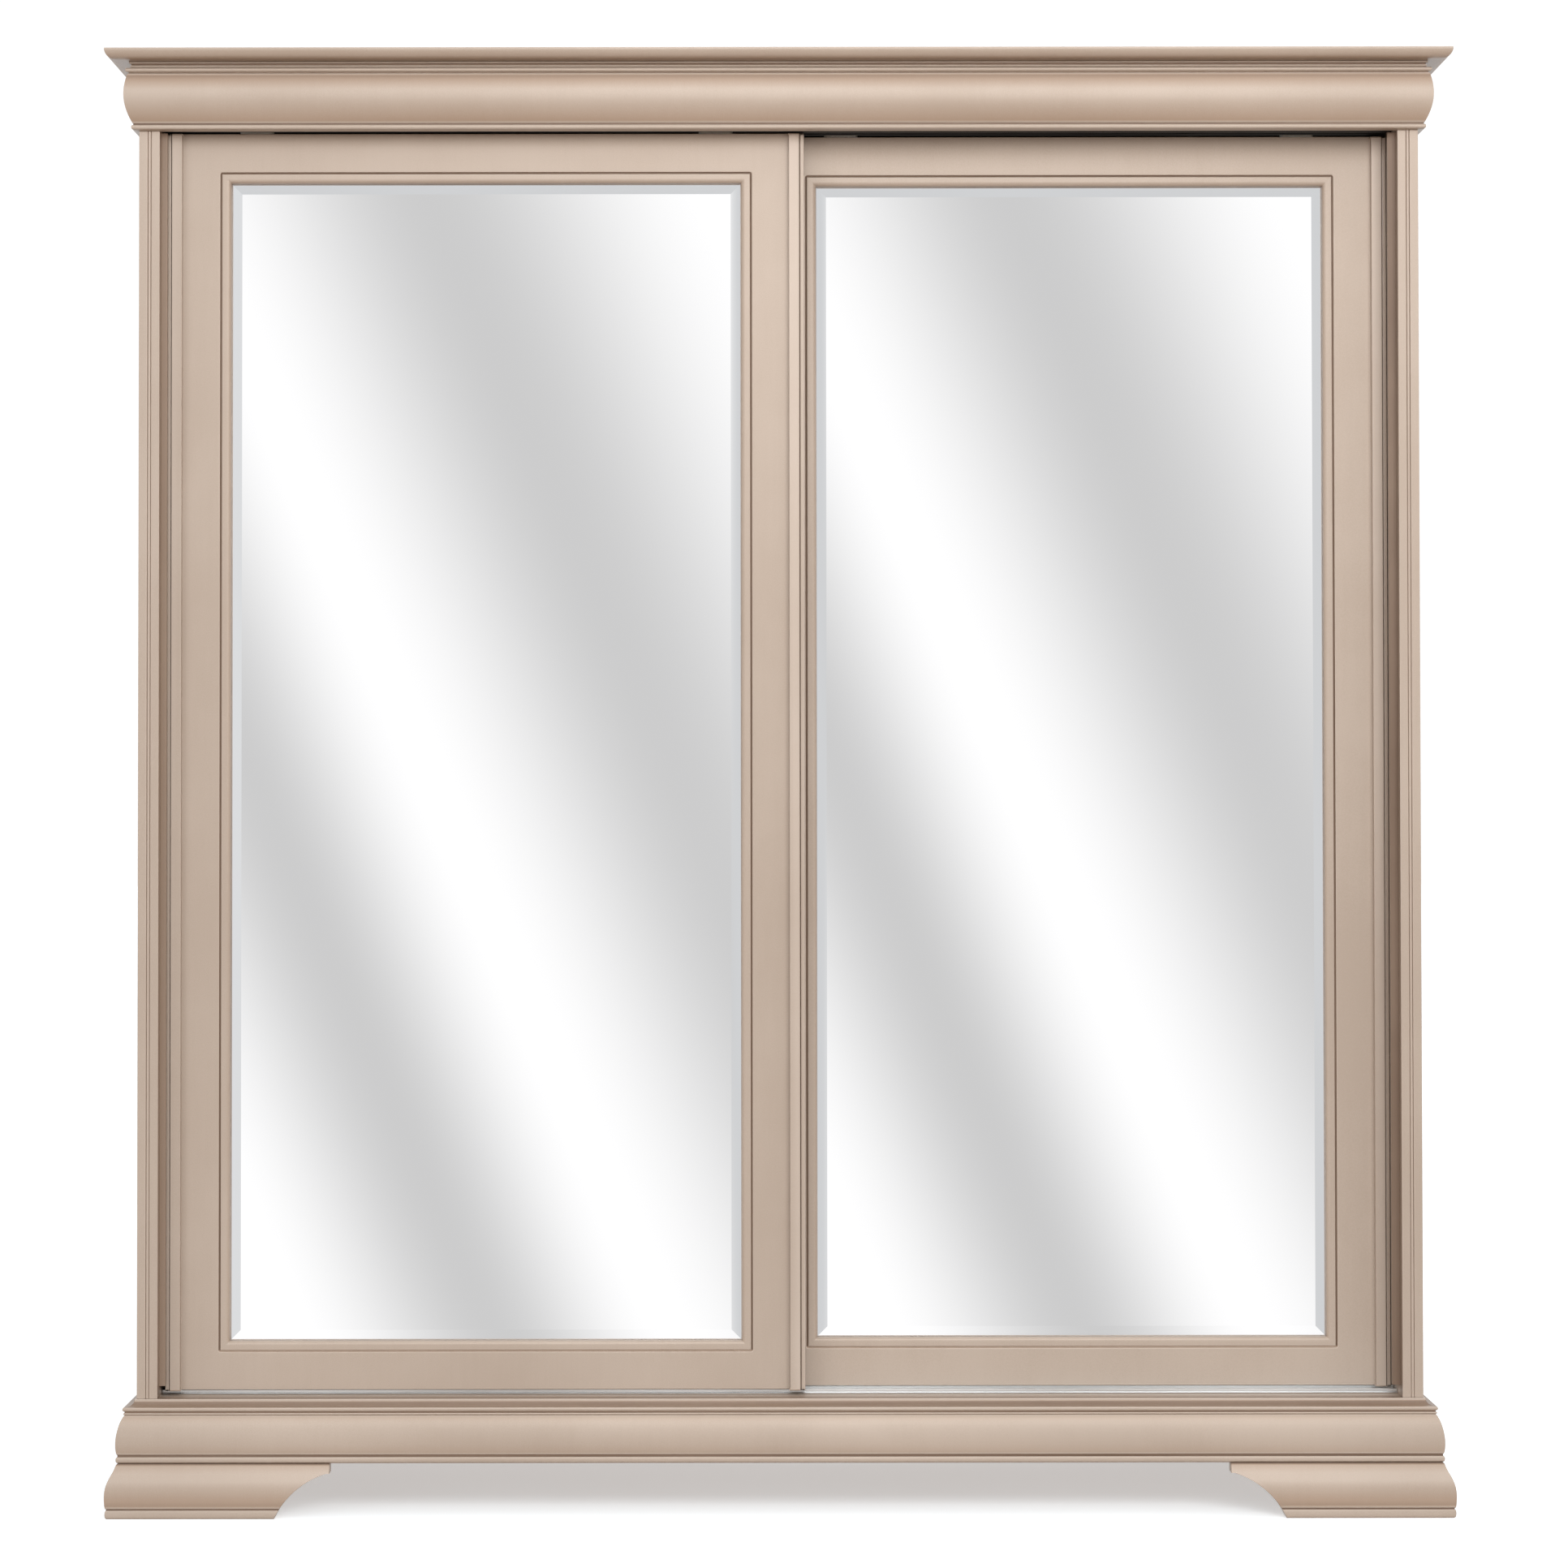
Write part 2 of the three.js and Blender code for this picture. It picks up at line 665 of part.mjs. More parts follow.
// A rectangle around the mirror's visible opening, grown by an amount, as four corners.
function openingCorner(signX, signZ) {
  const middle = (MIRROR_TOP + MIRROR_BOTTOM) / 2;
  const halfHeight = (MIRROR_TOP - MIRROR_BOTTOM) / 2;
  return ({ x: grow, y }) => [
    signX * (HALF_MIRROR + grow),
    y,
    middle + signZ * (halfHeight + grow),
  ];
}

const RING = [openingCorner(-1, -1), openingCorner(1, -1), openingCorner(1, 1), openingCorner(-1, 1)];

function routedGroove() {
  const proud = 1;
  const inner = GROOVE_OUTER - GROOVE_WIDTH;
  const middle = GROOVE_OUTER - GROOVE_WIDTH / 2;
  const section = points([inner, -proud], [inner, 0], [middle, GROOVE_DEPTH], [GROOVE_OUTER, 0]);
  return sweep([...section, ...points([GROOVE_OUTER, -proud])], RING, true);
}

function mirrorRebate() {
  return block(
    [-HALF_MIRROR - REBATE, HALF_MIRROR + REBATE],
    [MIRROR_SETBACK - GAP, DOOR_THICKNESS + 1],
    [MIRROR_BOTTOM - REBATE, MIRROR_TOP + REBATE],
  );
}

// The mirror's section, from its back edge over the bevel to the flat, closed by a flat face.
function bevelledMirror() {
  const edge = REBATE - GAP;
  const back = MIRROR_SETBACK + MIRROR_THICKNESS;
  const loops = [
    { x: edge, y: back },
    { x: edge, y: back - MIRROR_EDGE_THICKNESS },
    { x: -BEVEL_WIDTH, y: MIRROR_SETBACK },
  ];
  const positions = loops.flatMap((loop) => RING.flatMap((corner) => corner(loop)));
  const triangles = [[0, 1, 2], [0, 2, 3], [8, 10, 9], [8, 11, 10]];
  for (let ring = 0; ring < 2; ring += 1) {
    for (let i = 0; i < 4; i += 1) {
      const here = 4 * ring + i;
      const next = 4 * ring + ((i + 1) % 4);
      triangles.push([here, here + 4, next + 4], [here, next + 4, next]);
    }
  }
  return closedGeometry(positions, triangles);
}

// The pull strip along a door's edge: a low step outside, a groove, and the high round-edged strip.
const PULL_BOTTOM = 174.8;
const PULL_TOP = 2019.4;

function pullOutline(sign) {
  const section = [
    [0, -GAP], [0, -9], [1, -10], [5.4, -10], [6, -7], [7.2, -7], [7.2, -13.6], [8.6, -15],
    [22.4, -15], [23.8, -13.6], [23.8, -GAP],
  ];
  return points(...section.map(([inwards, y]) => [sign * (HALF_DOOR - inwards), y]));
}

// The rollers: a nylon wheel with a groove that straddles the track's ridge, on a steel pin in
// a steel housing let into the bottom rail.
const ROLLER_INSET = 130; // from the door's edge
const WHEEL_TREAD_RADIUS = 11;
const WHEEL_FLANGE_RADIUS = 12.3;
const WHEEL_HALF_WIDTH = 4;
const WHEEL_BORE = 2.3;
const PIN_RADIUS = 2;
const AXLE_HEIGHT = RIDGE_TOP + GAP + WHEEL_TREAD_RADIUS;
const HOUSING = { halfLength: 28, halfWidth: 7, bottom: 176.5, top: 203 };
const SLOT = { halfLength: 15, halfWidth: 4.8, top: 199.5 };

function rollerWheel() {
  const section = [
    [-WHEEL_HALF_WIDTH, WHEEL_BORE],
    [-WHEEL_HALF_WIDTH, WHEEL_FLANGE_RADIUS],
    [-2.8, WHEEL_FLANGE_RADIUS],
    [-2.3, WHEEL_TREAD_RADIUS],
    [2.3, WHEEL_TREAD_RADIUS],
    [2.8, WHEEL_FLANGE_RADIUS],
    [WHEEL_HALF_WIDTH, WHEEL_FLANGE_RADIUS],
    [WHEEL_HALF_WIDTH, WHEEL_BORE],
  ];
  return turnedAboutX(section).rotateZ(Math.PI / 2);
}

function rollerHousing(x) {
  const y = DOOR_CENTRE_DEPTH;
  const shell = block(
    [x - HOUSING.halfLength, x + HOUSING.halfLength],
    [y - HOUSING.halfWidth, y + HOUSING.halfWidth],
    [HOUSING.bottom, HOUSING.top],
  );
  const slot = block(
    [x - SLOT.halfLength, x + SLOT.halfLength],
    [y - SLOT.halfWidth, y + SLOT.halfWidth],
    [HOUSING.bottom - 1, SLOT.top],
  );
  const pin = new THREE.CylinderGeometry(PIN_RADIUS, PIN_RADIUS, 2 * HOUSING.halfWidth - 2, 12);
  pin.translate(x, y, AXLE_HEIGHT);
  return join(cut(shell, slot), pin);
}

function rollerPocket(x) {
  const y = DOOR_CENTRE_DEPTH;
  return block(
    [x - HOUSING.halfLength - GAP, x + HOUSING.halfLength + GAP],
    [y - HOUSING.halfWidth - GAP, y + HOUSING.halfWidth + GAP],
    [DOOR_BOTTOM - 1, HOUSING.top + GAP],
  );
}

const GUIDE_HALF_LENGTH = 25;
const GUIDE_TOP = 2034;

// A guide block with round ends that stands on the door's top edge, in its channel.
function topGuide(x) {
  const half = CHANNEL_HALF_WIDTH - GAP;
  const straight = GUIDE_HALF_LENGTH - half;
  const shape = new THREE.Path();
  shape.absarc(x + straight, DOOR_CENTRE_DEPTH, half, -Math.PI / 2, Math.PI / 2, false);
  shape.absarc(x - straight, DOOR_CENTRE_DEPTH, half, Math.PI / 2, (3 * Math.PI) / 2, false);
  return raised(shape.getPoints(5).slice(0, -1), DOOR_TOP + GAP, GUIDE_TOP);
}

function addDoor(name, centreX, faceDepth) {
  const door = new THREE.Group();
  door.position.set(centreX, FRONT + faceDepth, 0);
  armoire.add(door);

  const thickness = [0, DOOR_THICKNESS];
  const groove = routedGroove();
  const rebate = mirrorRebate();
  const rollerPlaces = SIDES.map(({ sign }) => sign * (HALF_DOOR - ROLLER_INSET));

  for (const side of SIDES) {
    const across = span(side.sign, HALF_MIRROR, HALF_DOOR);
    const stile = cut(block(across, thickness, [DOOR_BOTTOM, DOOR_TOP]), groove, rebate);
    add(`${name}_${side.name}_stile`, stile, PAINT, door);
    const pull = raised(pullOutline(side.sign), PULL_BOTTOM, PULL_TOP);
    add(`${name}_${side.name}_pull`, pull, PAINT, door);
  }

  const railSpan = [-HALF_MIRROR + GAP, HALF_MIRROR - GAP];
  const topRail = block(railSpan, thickness, [MIRROR_TOP, DOOR_TOP]);
  add(`${name}_top_rail`, cut(topRail, groove, rebate), PAINT, door);
  const bottomRail = block(railSpan, thickness, [DOOR_BOTTOM, MIRROR_BOTTOM]);
  const pockets = rollerPlaces.map(rollerPocket);
  add(`${name}_bottom_rail`, cut(bottomRail, groove, rebate, ...pockets), PAINT, door);

  add(`${name}_mirror`, bevelledMirror(), MIRROR, door);
  const backing = block(
    [-HALF_MIRROR - REBATE + GAP, HALF_MIRROR + REBATE - GAP],
    [MIRROR_SETBACK + MIRROR_THICKNESS + GAP, DOOR_THICKNESS - GAP],
    [MIRROR_BOTTOM - REBATE + GAP, MIRROR_TOP + REBATE - GAP],
  );
  add(`${name}_mirror_backing`, backing, BACKING, door);

  SIDES.forEach((side, i) => {
    const x = rollerPlaces[i];
    add(`${name}_${side.name}_roller_housing`, rollerHousing(x), STEEL, door);
    const wheel = add(`${name}_${side.name}_roller`, rollerWheel(), NYLON, door);
    wheel.position.set(x, DOOR_CENTRE_DEPTH, AXLE_HEIGHT);
    add(`${name}_${side.name}_top_guide`, topGuide(x), NYLON, door);
  });
}

// ---------------------------------------------------------------- assembly

addCrown();
addBase();
addFeet();
addSideFrames();
addHeadAndBack();
addInterior();
addTracks();

const doorCentre = INNER - DOOR_JAMB_GAP - HALF_DOOR;
addDoor("left_door", -doorCentre, FRONT_DOOR_FACE);
addDoor("right_door", doorCentre, FRONT_DOOR_FACE + DOOR_PITCH);

export default armoire;
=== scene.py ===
import math

import bmesh
import bpy
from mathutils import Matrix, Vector


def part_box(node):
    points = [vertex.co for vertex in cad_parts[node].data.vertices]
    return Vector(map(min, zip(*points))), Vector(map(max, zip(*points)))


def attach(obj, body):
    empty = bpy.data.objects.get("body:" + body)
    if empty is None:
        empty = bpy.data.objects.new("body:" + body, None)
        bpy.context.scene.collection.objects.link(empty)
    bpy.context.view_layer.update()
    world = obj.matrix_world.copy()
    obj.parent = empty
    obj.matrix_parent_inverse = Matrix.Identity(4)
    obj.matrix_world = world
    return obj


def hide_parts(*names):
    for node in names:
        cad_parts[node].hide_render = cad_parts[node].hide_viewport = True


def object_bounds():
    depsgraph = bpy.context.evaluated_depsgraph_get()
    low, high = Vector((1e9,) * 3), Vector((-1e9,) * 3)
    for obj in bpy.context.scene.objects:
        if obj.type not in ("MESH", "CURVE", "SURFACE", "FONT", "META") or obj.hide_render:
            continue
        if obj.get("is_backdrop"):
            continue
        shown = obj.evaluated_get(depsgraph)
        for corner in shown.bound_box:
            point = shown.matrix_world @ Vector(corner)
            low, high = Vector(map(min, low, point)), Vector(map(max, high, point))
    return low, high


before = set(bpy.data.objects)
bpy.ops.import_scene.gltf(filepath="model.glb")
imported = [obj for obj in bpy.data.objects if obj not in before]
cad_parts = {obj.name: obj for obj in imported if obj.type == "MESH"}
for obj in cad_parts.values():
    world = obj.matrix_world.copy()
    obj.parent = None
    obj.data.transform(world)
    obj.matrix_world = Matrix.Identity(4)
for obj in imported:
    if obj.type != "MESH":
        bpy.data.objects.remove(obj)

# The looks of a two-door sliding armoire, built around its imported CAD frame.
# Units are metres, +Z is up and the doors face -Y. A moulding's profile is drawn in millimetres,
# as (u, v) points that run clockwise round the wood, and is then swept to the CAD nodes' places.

CAD_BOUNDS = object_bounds()

MM = 0.001
SIDES = (("left", -1), ("right", 1))
DOORS = ("left_door", "right_door")

# ---------------------------------------------------------------- places taken from the frame

POST_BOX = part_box("front_post_right")
OUTER = POST_BOX[1].x  # the posts' outer faces
FRONT = POST_BOX[0].y  # the posts' front faces
POST_TOP = POST_BOX[1].z
BACK = CAD_BOUNDS[1].y
CROWN_TOP = CAD_BOUNDS[1].z
CROWN_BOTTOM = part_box("crown_front")[0].z
BASE_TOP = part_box("base_front")[1].z
MITRE_TRIM = 0.0001  # each moulding stops this far short of the mitre's plane

# ---------------------------------------------------------------- sizes of the details

ARRIS = 0.8  # millimetres, the radius of an eased edge
GLAZE_AND_SHADE_REACH = 0.7  # millimetres, how far the painted shade and glazing spread out of a quirk
LONGEST_EASE = 0.4  # the most of an outline's edge that easing may take up
SHARP_TURN = 25  # degrees; a smaller turn belongs to a curve
FULL_GLAZE_AND_SHADE_TURN = 75  # degrees; a quirk this sharp gets the full painted shade and glazing
SMOOTH_ANGLE = math.radians(32)
WELD_DISTANCE = 1e-6
CAD_BEVEL = 0.6 * MM  # how wide the edges of the kept CAD nodes are eased
CAD_SHARP_ANGLE = math.radians(40)

# Painted shade down the curved faces, heaviest at their ends, which lie under an overhang or turn away
# from the light.
LIP_TONES = (0.1, 0.45)
CROWN_BELLY_TONES = (0.8, 0.4, 0, 0, 0.15, 0.35, 0.6)
BASE_BELLY_TONES = (0.3, 0, 0, 0.05, 0.3)
COVE_TONES = (0.95, 0.7)
FOOT_TONES = (0.3, 0, 0, 0.2, 0.7)

# The posts and the pulls, in millimetres.
POST_WIDTH = 30.1
POST_DEPTH = 80
FLUTE_STARTS = (12.2, 16.6)
FLUTE_WIDTH = 1.7
FLUTE_DEPTH = 1.9
PULL_STEP = (5.8, 10)  # the low step's width, and how far it stands out
PULL_GROOVE = (6.1, 7)  # where the groove's floor starts, and how far out it is
PULL_STRIP = (7.2, 23.8)  # from the door's edge
PULL_PROUD = 15

# ---------------------------------------------------------------- profiles


class Outline:
    """A run of (u, v) points in millimetres, drawn clockwise round the material. Each point has
    a tone: above 0 for painted shade, partly glazing, that darkens the paint brown; below 0 for a painted
    highlight."""

    def __init__(self, u, v, tone=0):
        self.points = [(u, v)]
        self.tones = [tone]

    def line(self, u, v, tone=0):
        self.points.append((u, v))
        self.tones.append(tone)
        return self

    def curve(self, first_pull, second_pull, end, steps=10, tones=(0, 0)):
        """A Bezier curve, with tones given at even steps along it."""
        start = self.points[-1]
        for i in range(1, steps + 1):
            t = i / steps
            weights = ((1 - t) ** 3, 3 * t * (1 - t) ** 2, 3 * t * t * (1 - t), t**3)
            ends = (start, first_pull, second_pull, end)
            u = sum(w * p[0] for w, p in zip(weights, ends))
            v = sum(w * p[1] for w, p in zip(weights, ends))
            place = t * (len(tones) - 1)
            before = min(int(place), len(tones) - 2)
            tone = tones[before] + (tones[before + 1] - tones[before]) * (place - before)
            self.line(u, v, tone)
        return self

    def bead(self, v, bulge, steps=8, tone=0):
        """A half-round from the last point straight down to v, standing out by bulge."""
        u, top = self.points[-1]
        pull = 4 / 3 * bulge
        return self.curve((u + pull, top), (u + pull, v), (u, v), steps, (tone, tone))


def eased_corner(start, corner, end):
    """A convex corner rounded off, with its arris marked -1 for a painted highlight, as (u, v, tone)
    points.
    """
    eased = []
    for i in range(4):
        t = i / 3
        point = start * (1 - t) ** 2 + corner * 2 * t * (1 - t) + end * t * t
        eased.append((point.x, point.y, -4 * t * (1 - t)))
    return eased


def dressed(outline, arris=ARRIS, closed=True):
    """Eases an outline's convex corners and marks its quirks, as (u, v, tone) points in metres.
    The tone is -1 on an arris, for a painted highlight, and 1 in a quirk, for painted shade with some
    glazing."""
    corners = [Vector(point) for point in outline.points]
    count = len(corners)
    points = []
    for i, (here, tone) in enumerate(zip(corners, outline.tones)):
        inward = here - corners[i - 1]
        outward = corners[(i + 1) % count] - here
        at_end = not closed and i in (0, count - 1)
        turn = 0 if at_end else math.degrees(inward.angle_signed(outward, 0))
        if abs(turn) < SHARP_TURN:
            points.append((here.x, here.y, tone))
            continue
        reach = arris if turn > 0 else GLAZE_AND_SHADE_REACH
        start = here - inward.normalized() * min(reach, LONGEST_EASE * inward.length)
        end = here + outward.normalized() * min(reach, LONGEST_EASE * outward.length)
        if turn > 0:
            points += eased_corner(start, here, end)
        else:
            depth = max(tone, min(1, -turn / FULL_GLAZE_AND_SHADE_TURN))
            points += [(start.x, start.y, tone), (here.x, here.y, depth), (end.x, end.y, tone)]
    return [(u * MM, v * MM, tone) for u, v, tone in points]


def crown_profile():
    """(reach beyond the posts, height from the top)."""
    # The tones: painted shade in the quirks, under the lip and down the belly, and painted highlights on
    # the thin beads.
    outline = Outline(-5.8, 0).line(45.2, 0).line(45.2, -2.8)
    outline.curve((43.8, -10.5), (39, -15.2), (30, -15.2), 14, LIP_TONES).line(11.6, -15.2)
    outline.bead(-18.2, 1.7, 6, -1).line(10, -18.7, 0.8).line(10, -20.4, 0.8).bead(-23.4, 1.9, 6, -1)
    outline.line(9.6, -23.8).line(9.6, -24.6).line(13.4, -24.6).bead(-31.4, 4.8, 12)
    outline.line(13.4, -32.4, 1).line(15.3, -33.4, 1)
    outline.curve((23.3, -57.8), (22.6, -80.5), (8.6, -104.8), 22, CROWN_BELLY_TONES)
    outline.line(7.6, -105.5, 1).line(7.6, -107.4, 1).bead(-113.9, 2.8, 10)
    return outline.line(6.4, -114.4).line(0, -115.3).line(-5.8, -115.3)


def base_profile():
    """(reach beyond the posts, height from the base's top)."""
    # The tones: painted shade on the ledge behind the doors, in the cove and in the quirks, and a painted
    # highlight on the lip's nose.
    outline = Outline(-40, 0, 1).line(-1.5, 0, 1).line(2, 0, 0.4).line(2.8, -0.8).line(2.8, -2.7, -0.9)
    outline.line(2.8, -3, 0.5).curve((4.5, -8), (9, -10.2), (16, -10.4), 12, COVE_TONES).bead(-16, 2.2, 8)
    outline.line(15.2, -16.8, 0.8).line(15.2, -18.2, 0.8).bead(-21.2, 2, 6).line(16.6, -22.8)
    outline.curve((25, -34.5), (29.9, -59.9), (25.6, -76.6), 20, BASE_BELLY_TONES)
    outline.line(24.2, -78, 1).line(24.2, -80.6, 1).bead(-89, 2.5, 10).line(23.4, -90, 1)
    return outline.line(-8, -90).line(-8, -18).line(-40, -18)


def foot_face():
    """The foot's curved face from its top to the floor, as (reach, height) points."""
    # The tones: painted shade in the quirks and down the foot's lower curve.
    outline = Outline(24.6, 77.7, 1).line(26.2, 76, 0.8)
    outline.curve((32.6, 56.8), (45, 52.8), (40.2, 15.3), 30, FOOT_TONES)
    return outline.line(38.5, 14.4, 1).line(38.5, 12.6, 1).bead(0.8, 2, 10).line(38, 0, 1)


def post_profile():
    """(inwards from the post's outer edge, out from its face), with a double V groove."""
    outline = Outline(0, -POST_DEPTH).line(0, 0)
    for start in FLUTE_STARTS:
        outline.line(start, 0).line(start + FLUTE_WIDTH / 2, -FLUTE_DEPTH).line(start + FLUTE_WIDTH, 0)
    # Painted shade on the post's inner face, darkening into the gap beside the door.
    return outline.line(POST_WIDTH, 0).line(POST_WIDTH, -3, 0.85).line(POST_WIDTH, -POST_DEPTH, 1)


def pull_profile():
    """(inwards from the door's edge, out from its face): a low step, a groove and the strip."""
    step_width, step_proud = PULL_STEP
    groove_start, groove_floor = PULL_GROOVE
    start, end = PULL_STRIP
    outline = Outline(0, 0.1).line(0, step_proud).line(step_width, step_proud)
    # Painted shade in the groove, and where the strip meets the door's face.
    outline.line(groove_start, groove_floor, 1).line(start, groove_floor, 1)
    return outline.line(start, PULL_PROUD).line(end, PULL_PROUD).line(end, 6, 0.2).line(end, 0.1, 1)


# The door frame's section, in millimetres.
SIDE_MARGIN = 93  # from the visible mirror to the door's edge
REBATE = 8
MIRROR_SETBACK = 9.7
GROOVE = (13.2, 16.6)  # the routed groove's two edges
GROOVE_DEPTH = 2.4
GROOVE_SIDE = (0.9, 1.9)  # how far in and how far down each side of the groove runs
FIELD = 20  # beyond this the frame is flat, and takes up the rails' own widths


def frame_profile(thickness):
    """(outwards from the visible mirror, out from the door's face)."""
    outline = Outline(REBATE, -thickness).line(REBATE, -MIRROR_SETBACK).line(0, -MIRROR_SETBACK)
    # Painted shade round the opening's rounded lip and in the routed groove.
    outline.line(0, -6.5, 0.5)
    outline.curve((0, -2.6), (2.6, 0), (6.5, 0), 8, (0.4, 0))
    inner, outer = GROOVE
    side, drop = GROOVE_SIDE
    first_pull, second_pull = (inner + 1.3, -GROOVE_DEPTH), (outer - 1.3, -GROOVE_DEPTH)
    outline.line(inner, 0).line(inner + side, -drop, 1)
    outline.curve(first_pull, second_pull, (outer - side, -drop), 4, (1, 1))
    outline.line(outer, 0).line(FIELD, 0)
    return outline.line(SIDE_MARGIN, 0).line(SIDE_MARGIN, -thickness)


# ---------------------------------------------------------------- making meshes


class Shells:
    """Closed shells that make up one piece, with the tone of each vertex."""

    def __init__(self):
        self.vertices, self.faces, self.tones = [], [], []

    def sweep(self, section, stations, loop=False, rows=False, glaze_and_shade_shares=None):
        """Carries a section of (u, v, tone) points through stations, which place (u, v) in space.
        A loop joins its ends. The ends are closed with one face, or with strips where a section
        is rows: a front list followed by the back list, reversed, at the same heights. Each station
        may have its own share of the painted shade and glazing."""
        first = len(self.vertices)
        count = len(section)
        for place, share in zip(stations, glaze_and_shade_shares or [1] * len(stations)):
            self.vertices += [place(u, v) for u, v, _ in section]
            self.tones += [tone * share if tone > 0 else tone for _, _, tone in section]
        for step in range(len(stations) if loop else len(stations) - 1):
            here = first + step * count
            there = first + (step + 1) % len(stations) * count
            for i in range(count):
                j = (i + 1) % count
                self.faces.append((here + i, here + j, there + j, there + i))
        if not loop:
            for start in (first, first + (len(stations) - 1) * count):
                self.close(start, count, rows)
        return self

    def close(self, start, count, rows):
        if not rows:
            self.faces.append(tuple(range(start, start + count)))
            return
        last = start + count - 1
        for i in range(count // 2 - 1):
            self.faces.append((start + i, start + i + 1, last - i - 1, last - i))

    def make(self, name):
        mesh = bpy.data.meshes.new(name)
        mesh.from_pydata(self.vertices, [], self.faces)
        tone = mesh.attributes.new("tone", "FLOAT", "POINT")
        tone.data.foreach_set("value", self.tones)
        shape = bmesh.new()
        shape.from_mesh(mesh)
        bmesh.ops.remove_doubles(shape, verts=shape.verts, dist=WELD_DISTANCE)
        bmesh.ops.recalc_face_normals(shape, faces=shape.faces)
        shape.to_mesh(mesh)
        shape.free()
        mesh.shade_smooth()
        mesh.set_sharp_from_angle(angle=SMOOTH_ANGLE)
        piece = bpy.data.objects.new(name, mesh)
        bpy.context.scene.collection.objects.link(piece)
        return piece


def weigh_normals(piece):
    """Keeps the flats flat between their eased edges."""
    modifier = piece.modifiers.new("weighted_normals", "WEIGHTED_NORMAL")
    modifier.keep_sharp = True


def stand_for(piece, material, slot, body, *nodes):
    """Puts a piece in the place of CAD nodes."""
    piece.data.materials.append(material)
    weigh_normals(piece)
    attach(piece, body)
    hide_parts(*nodes)


# ---------------------------------------------------------------- materials


class Tree:
    """Short ways to add and wire the nodes of a material, or of the world."""

    def __init__(self, owner):
        owner.use_nodes = True
        self.owner = owner
        self.nodes = owner.node_tree.nodes
        self.shader = self.nodes.get("Principled BSDF") or self.nodes["Background"]

    def wire(self, source, socket):
        if hasattr(source, "is_output"):
            self.owner.node_tree.links.new(source, socket)
        else:
            socket.default_value = source

    def coordinates(self, scale=(1, 1, 1)):
        """Object coordinates, stretched by a scale."""
        place = self.nodes.new("ShaderNodeTexCoord")
        mapping = self.nodes.new("ShaderNodeMapping")
        mapping.inputs["Scale"].default_value = scale
        self.wire(place.outputs["Object"], mapping.inputs["Vector"])
        return mapping.outputs["Vector"]

    def noise(self, where, scale, detail=2, roughness=0.5):
        node = self.nodes.new("ShaderNodeTexNoise")
        self.wire(where, node.inputs["Vector"])
        node.inputs["Scale"].default_value = scale
        node.inputs["Detail"].default_value = detail
        node.inputs["Roughness"].default_value = roughness
        return node.outputs["Fac"]

    def math(self, operation, first, second):
        node = self.nodes.new("ShaderNodeMath")
        node.operation = operation
        self.wire(first, node.inputs[0])
        self.wire(second, node.inputs[1])
        return node.outputs["Value"]

    def span(self, value, low, high, to_low=0.0, to_high=1.0, smooth=False):
        """Maps a value from low..high to to_low..to_high, clamped."""
        node = self.nodes.new("ShaderNodeMapRange")
        node.interpolation_type = "SMOOTHSTEP" if smooth else "LINEAR"
        for name, source in (
            ("Value", value),
            ("From Min", low),
            ("From Max", high),
            ("To Min", to_low),
            ("To Max", to_high),
        ):
            self.wire(source, node.inputs[name])
        return node.outputs["Result"]

    def blend(self, factor, first, second):
        node = self.nodes.new("ShaderNodeMix")
        node.data_type = "RGBA"
        sockets = {s.identifier: s for s in node.inputs}
        self.wire(factor, sockets["Factor_Float"])
        self.wire(first, sockets["A_Color"])
        self.wire(second, sockets["B_Color"])
        return next(s for s in node.outputs if s.identifier == "Result_Color")

    def bump(self, height, strength, distance):
        node = self.nodes.new("ShaderNodeBump")
        node.inputs["Strength"].default_value = strength
        node.inputs["Distance"].default_value = distance
        self.wire(height, node.inputs["Height"])
        self.wire(node.outputs["Normal"], self.shader.inputs["Normal"])

    def settle(self, **values):
        """Sets the shader's own sockets, by names with spaces as underscores."""
        for name, value in values.items():
            self.wire(value, self.shader.inputs[name.replace("_", " ")])
        return self.owner


def new_material(name):
    return Tree(bpy.data.materials.new(name))


def rgba(red, green, blue):
    return (red, green, blue, 1.0)


PAINT_PALE = rgba(0.480, 0.398, 0.331)
PAINT_DEEP = rgba(0.445, 0.362, 0.296)
# A painted highlight: the pale paint on the arrises and thin beads, where they catch the light.
ARRIS_HIGHLIGHT = rgba(0.610, 0.520, 0.450)
# Painted shade, partly glazing: the browns that the paint darkens to where the tone is above 0.
THIN_GLAZE_AND_SHADE = rgba(0.290, 0.150, 0.065)
THICK_GLAZE_AND_SHADE = rgba(0.120, 0.072, 0.045)


